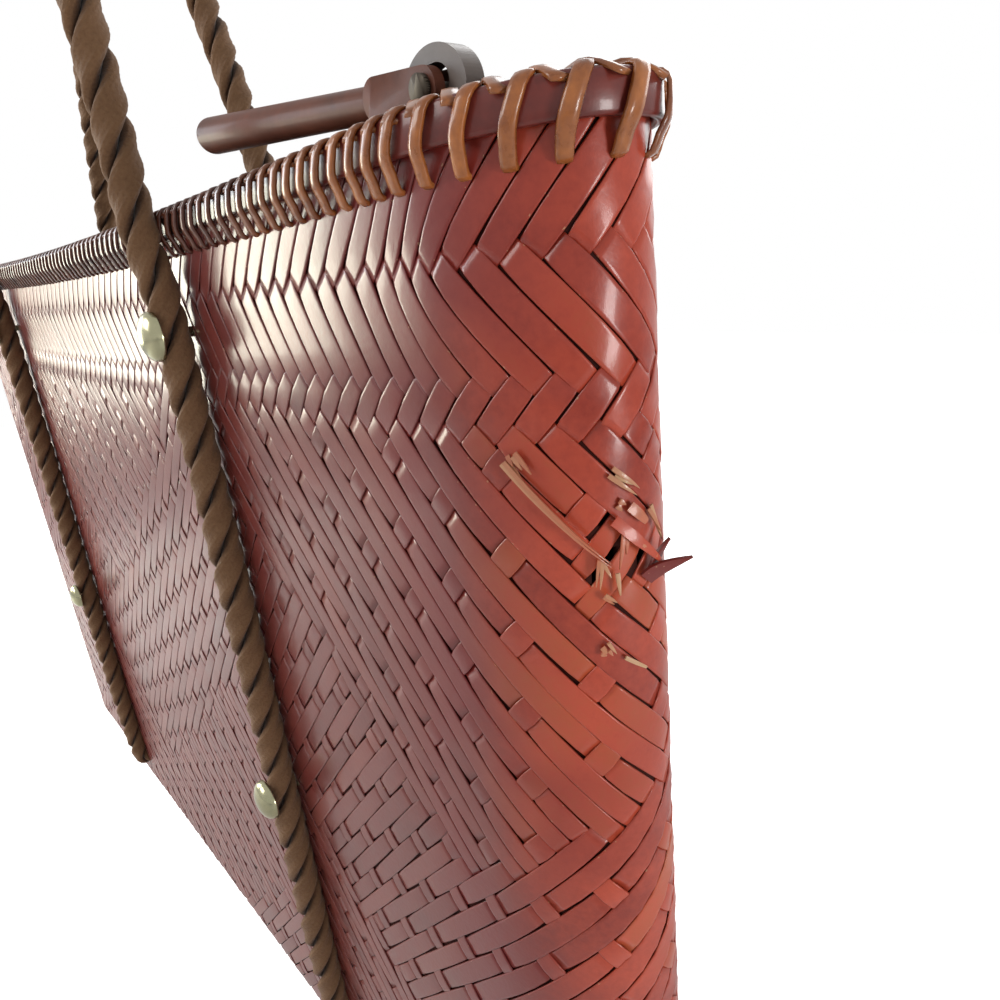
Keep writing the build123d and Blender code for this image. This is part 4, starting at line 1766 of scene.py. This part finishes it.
@dataclass
class Hoops(Part):
    """The two rattan hoops under the winding."""

    plan: Plan
    outer: tuple[float, float] = (0.0, 1.4)
    inner: tuple[float, float] = (-5.2, -2.4)
    low: float = -5.6
    high: float = -0.9
    step: float = 1.6
    bevel: float = 0.5

    def hoop(self, name: str, lifts: tuple[float, float]) -> bpy.types.Object:
        """Makes one closed hoop of rounded section.

        Args:
            name: the object's name.
            lifts: how far its two sides stand out from the wall's outside.

        Returns:
            The mesh object.
        """
        (a, b), r = lifts, self.bevel
        section = [(a, self.low + r), (a, self.high - r), (a + r, self.high), (b - r, self.high),
                   (b - r * 0.3, self.high - r * 0.3), (b, self.high - r), (b, self.low + r),
                   (b - r * 0.3, self.low + r * 0.3), (b - r, self.low), (a + r, self.low)]
        count = int(2 * self.plan.half / self.step)
        points = [self.plan.on_wall(k * 2 * self.plan.half / count, self.plan.height + up, lift)
                  for k in range(count) for lift, up in section]
        n, faces = len(section), []
        for k in range(count):
            faces += band(k * n, (k + 1) % count * n, n)
        return outward(mesh_object(name, points, faces))

    def build(self, rattan: bpy.types.Material) -> None:
        """Builds and dresses both hoops.

        Args:
            rattan: their finish.
        """
        for node, lifts in (("outer_rim_hoop", self.outer), ("inner_rim_hoop", self.inner)):
            hoop = self.hoop(node + "_look", lifts)
            hoop.data.materials.append(rattan)
            self.dress(hoop, "rattan_hoop", [node])


@dataclass(frozen=True)
class Lamp:
    """One soft square lamp: where it stands, where it points, its side in metres, power in watts and colour."""

    name: str
    place: tuple[float, float, float]
    aim: tuple[float, float, float]
    side: float
    power: float
    colour: Colour


@dataclass
class Studio:
    """Camera, lamps, floor and world."""

    place: tuple[float, float, float] = (259.5, -72.0, 230.7)
    right: tuple[float, float, float] = (0.6663, 0.7389, -0.0999)
    down: tuple[float, float, float] = (0.1734, -0.2838, -0.9431)
    lens: float = 26.48
    sensor: float = 36.0
    nearest: float = 0.005
    world_light: float = 0.34
    floor_size: float = 3.0
    floor_level: float = -0.0008
    floor_white: float = 0.9
    floor_glow: float = 0.8
    lamps: tuple[Lamp, ...] = (
        Lamp("window_low", (-0.50, -0.27, 0.24), (0.12, 0.0, 0.22), 0.20, 1.7, (1.0, 0.98, 0.80)),
        Lamp("window_high", (-0.50, -0.30, 0.44), (0.12, 0.0, 0.22), 0.24, 1.5, (0.86, 0.92, 1.0)),
        Lamp("front_fill", (-0.45, -0.95, 0.85), (0.10, 0.0, 0.16), 0.6, 8.5, (1.0, 0.97, 0.94)),
        Lamp("end_window", (0.84, 0.02, 0.15), (0.20, 0.0, 0.22), 0.16, 2.2, (1.0, 0.98, 0.96)),
        Lamp("back_fill", (-0.1, 0.95, 0.7), (0.0, 0.0, 0.18), 0.9, 8.0, (1.0, 1.0, 1.0)),
    )

    def build(self) -> None:
        """Builds everything round the bag."""
        scene = bpy.context.scene
        scene.view_settings.view_transform = "Standard"
        camera = place_object("camera", bpy.data.cameras.new("camera"))
        camera.data.lens = self.lens
        camera.data.sensor_width = self.sensor
        camera.data.clip_start = self.nearest
        right, down = Vector(self.right).normalized(), Vector(self.down).normalized()
        back = right.cross(-down).normalized()
        turn = Matrix((right, -down, back)).transposed()
        camera.matrix_world = Matrix.Translation(Vector(self.place) * MM) @ turn.to_4x4()
        scene.camera = camera
        for lamp in self.lamps:
            data = bpy.data.lights.new(lamp.name, "AREA")
            data.size = lamp.side
            data.energy = lamp.power
            data.color = lamp.colour
            obj = place_object(lamp.name, data)
            obj.location = lamp.place
            obj.rotation_mode = "QUATERNION"
            obj.rotation_quaternion = (Vector(lamp.aim) - Vector(lamp.place)).to_track_quat("-Z", "Y")
        self.world(scene)
        self.floor()

    def world(self, scene: bpy.types.Scene) -> None:
        """Makes the world white to the camera and in reflections, and a softer grey as a light.

        Args:
            scene: the scene that gets it.
        """
        world = bpy.data.worlds.new("studio")
        world.use_nodes = True
        world.node_tree.nodes.clear()
        g = Graph(world.node_tree)
        path = g.add("ShaderNodeLightPath")
        seen = g.math("MAXIMUM", g.math("MAXIMUM", path.outputs["Is Camera Ray"], path.outputs["Is Glossy Ray"]),
                      path.outputs["Is Transmission Ray"])
        strength = g.ranged(seen, 0.0, 1.0, out=(self.world_light, 1.0))
        background = g.add("ShaderNodeBackground", {"Color": (1, 1, 1, 1), "Strength": strength})
        g.add("ShaderNodeOutputWorld", {"Surface": background.outputs[0]})
        scene.world = world

    def floor(self) -> None:
        """Makes a white floor that keeps the bag's shadow."""
        half, low = self.floor_size / 2, self.floor_level
        floor = mesh_object("floor", [(-half, -half, low), (half, -half, low), (half, half, low), (-half, half, low)],
                            [(0, 1, 2, 3)], smooth=False)
        material = bpy.data.materials.new("floor_white")
        material.use_nodes = True
        g = Graph(material.node_tree)
        surface = material.node_tree.nodes["Principled BSDF"]
        surface.inputs["Base Color"].default_value = (*[self.floor_white] * 3, 1)
        surface.inputs["Roughness"].default_value = 0.9
        surface.inputs["Specular IOR Level"].default_value = 0.0
        surface.inputs["Emission Color"].default_value = (1, 1, 1, 1)
        seen = g.add("ShaderNodeLightPath").outputs["Is Camera Ray"]
        g.link(g.math("MULTIPLY", seen, self.floor_glow), surface, "Emission Strength")
        floor.data.materials.append(material)


FRONT_ARCH = ((0, 17), (2.5, 45), (12, 73), (31, 96), (60, 111))
BACK_ARCH = ((5.7, 9), (14.4, 34), (24.5, 58), (34, 76.5), (48.5, 90), (66.5, 96.5))


def main() -> None:
    """Builds the bag's looks piece by piece."""
    logging.basicConfig(level=logging.INFO, format="%(name)s: %(message)s")
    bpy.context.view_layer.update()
    low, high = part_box("basket_wall")
    plan = Plan(length=(high[0] - low[0]) / MM, thickness=(high[1] - low[1]) / MM)
    outline = plan.curve()
    wrapping = Wrapping(plan, outline)
    lacquer = LacquerFinish().build()
    inside = PlainFinish("inner_wall", (0.020, 0.005, 0.004), (0.045, 0.010, 0.007),
                         roughness=0.75, specular=0.1).build()
    cane = PlainFinish("cane_strip", (0.12, 0.030, 0.010), (0.40, 0.135, 0.032),
                       roughness=0.26, coat=0.3, specular=0.3, scale=120.0,
                       away=((0.030, 0.008, 0.006), (0.15, 0.042, 0.020))).build()
    rattan = PlainFinish("rattan_rod", (0.070, 0.011, 0.009), (0.170, 0.026, 0.018),
                         roughness=0.32, coat=0.2, specular=0.3,
                         away=((0.012, 0.003, 0.003), (0.045, 0.009, 0.007))).build()
    rope = RopeFinish().build()
    brass = PlainFinish("stud_brass", (0.24, 0.235, 0.15), (0.38, 0.36, 0.23),
                        roughness=0.20, metallic=1.0, bump=0.03).build()
    lug = PlainFinish("lug_gloss", (0.085, 0.068, 0.060), (0.140, 0.110, 0.095),
                      roughness=0.36, coat=0.15, specular=0.25, bump=0.05).build()
    bar = PlainFinish("bar_gloss", (0.078, 0.027, 0.017), (0.156, 0.053, 0.033),
                      roughness=0.42, coat=0.04, specular=0.10, bump=0.05).build()
    small = PlainFinish("small_brass", (0.050, 0.040, 0.030), (0.095, 0.078, 0.060),
                        roughness=0.5, metallic=0.8, bump=0.03).build()
    Wall(plan, Weave(plan), wrapping).build(lacquer, inside)
    BrokenStrips(plan).build(lacquer)
    Rim(plan, wrapping).build(cane)
    Hoops(plan).build(rattan)
    RopeHandle(Face.FRONT, leg=97.0, arch=FRONT_ARCH, top=(0, 116), lift_inset=0.0).build(rope)
    RopeHandle(Face.BACK, leg=76.5, arch=BACK_ARCH, top=None, lift_inset=1.5).build(rope)
    Studs().build(brass)
    Knots().build(rope)
    Closure().build(lug, small)
    Lever().build(bar, small)
    bpy.data.objects.remove(outline)
    Studio().build()
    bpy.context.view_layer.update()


if __name__ == "__main__":
    main()
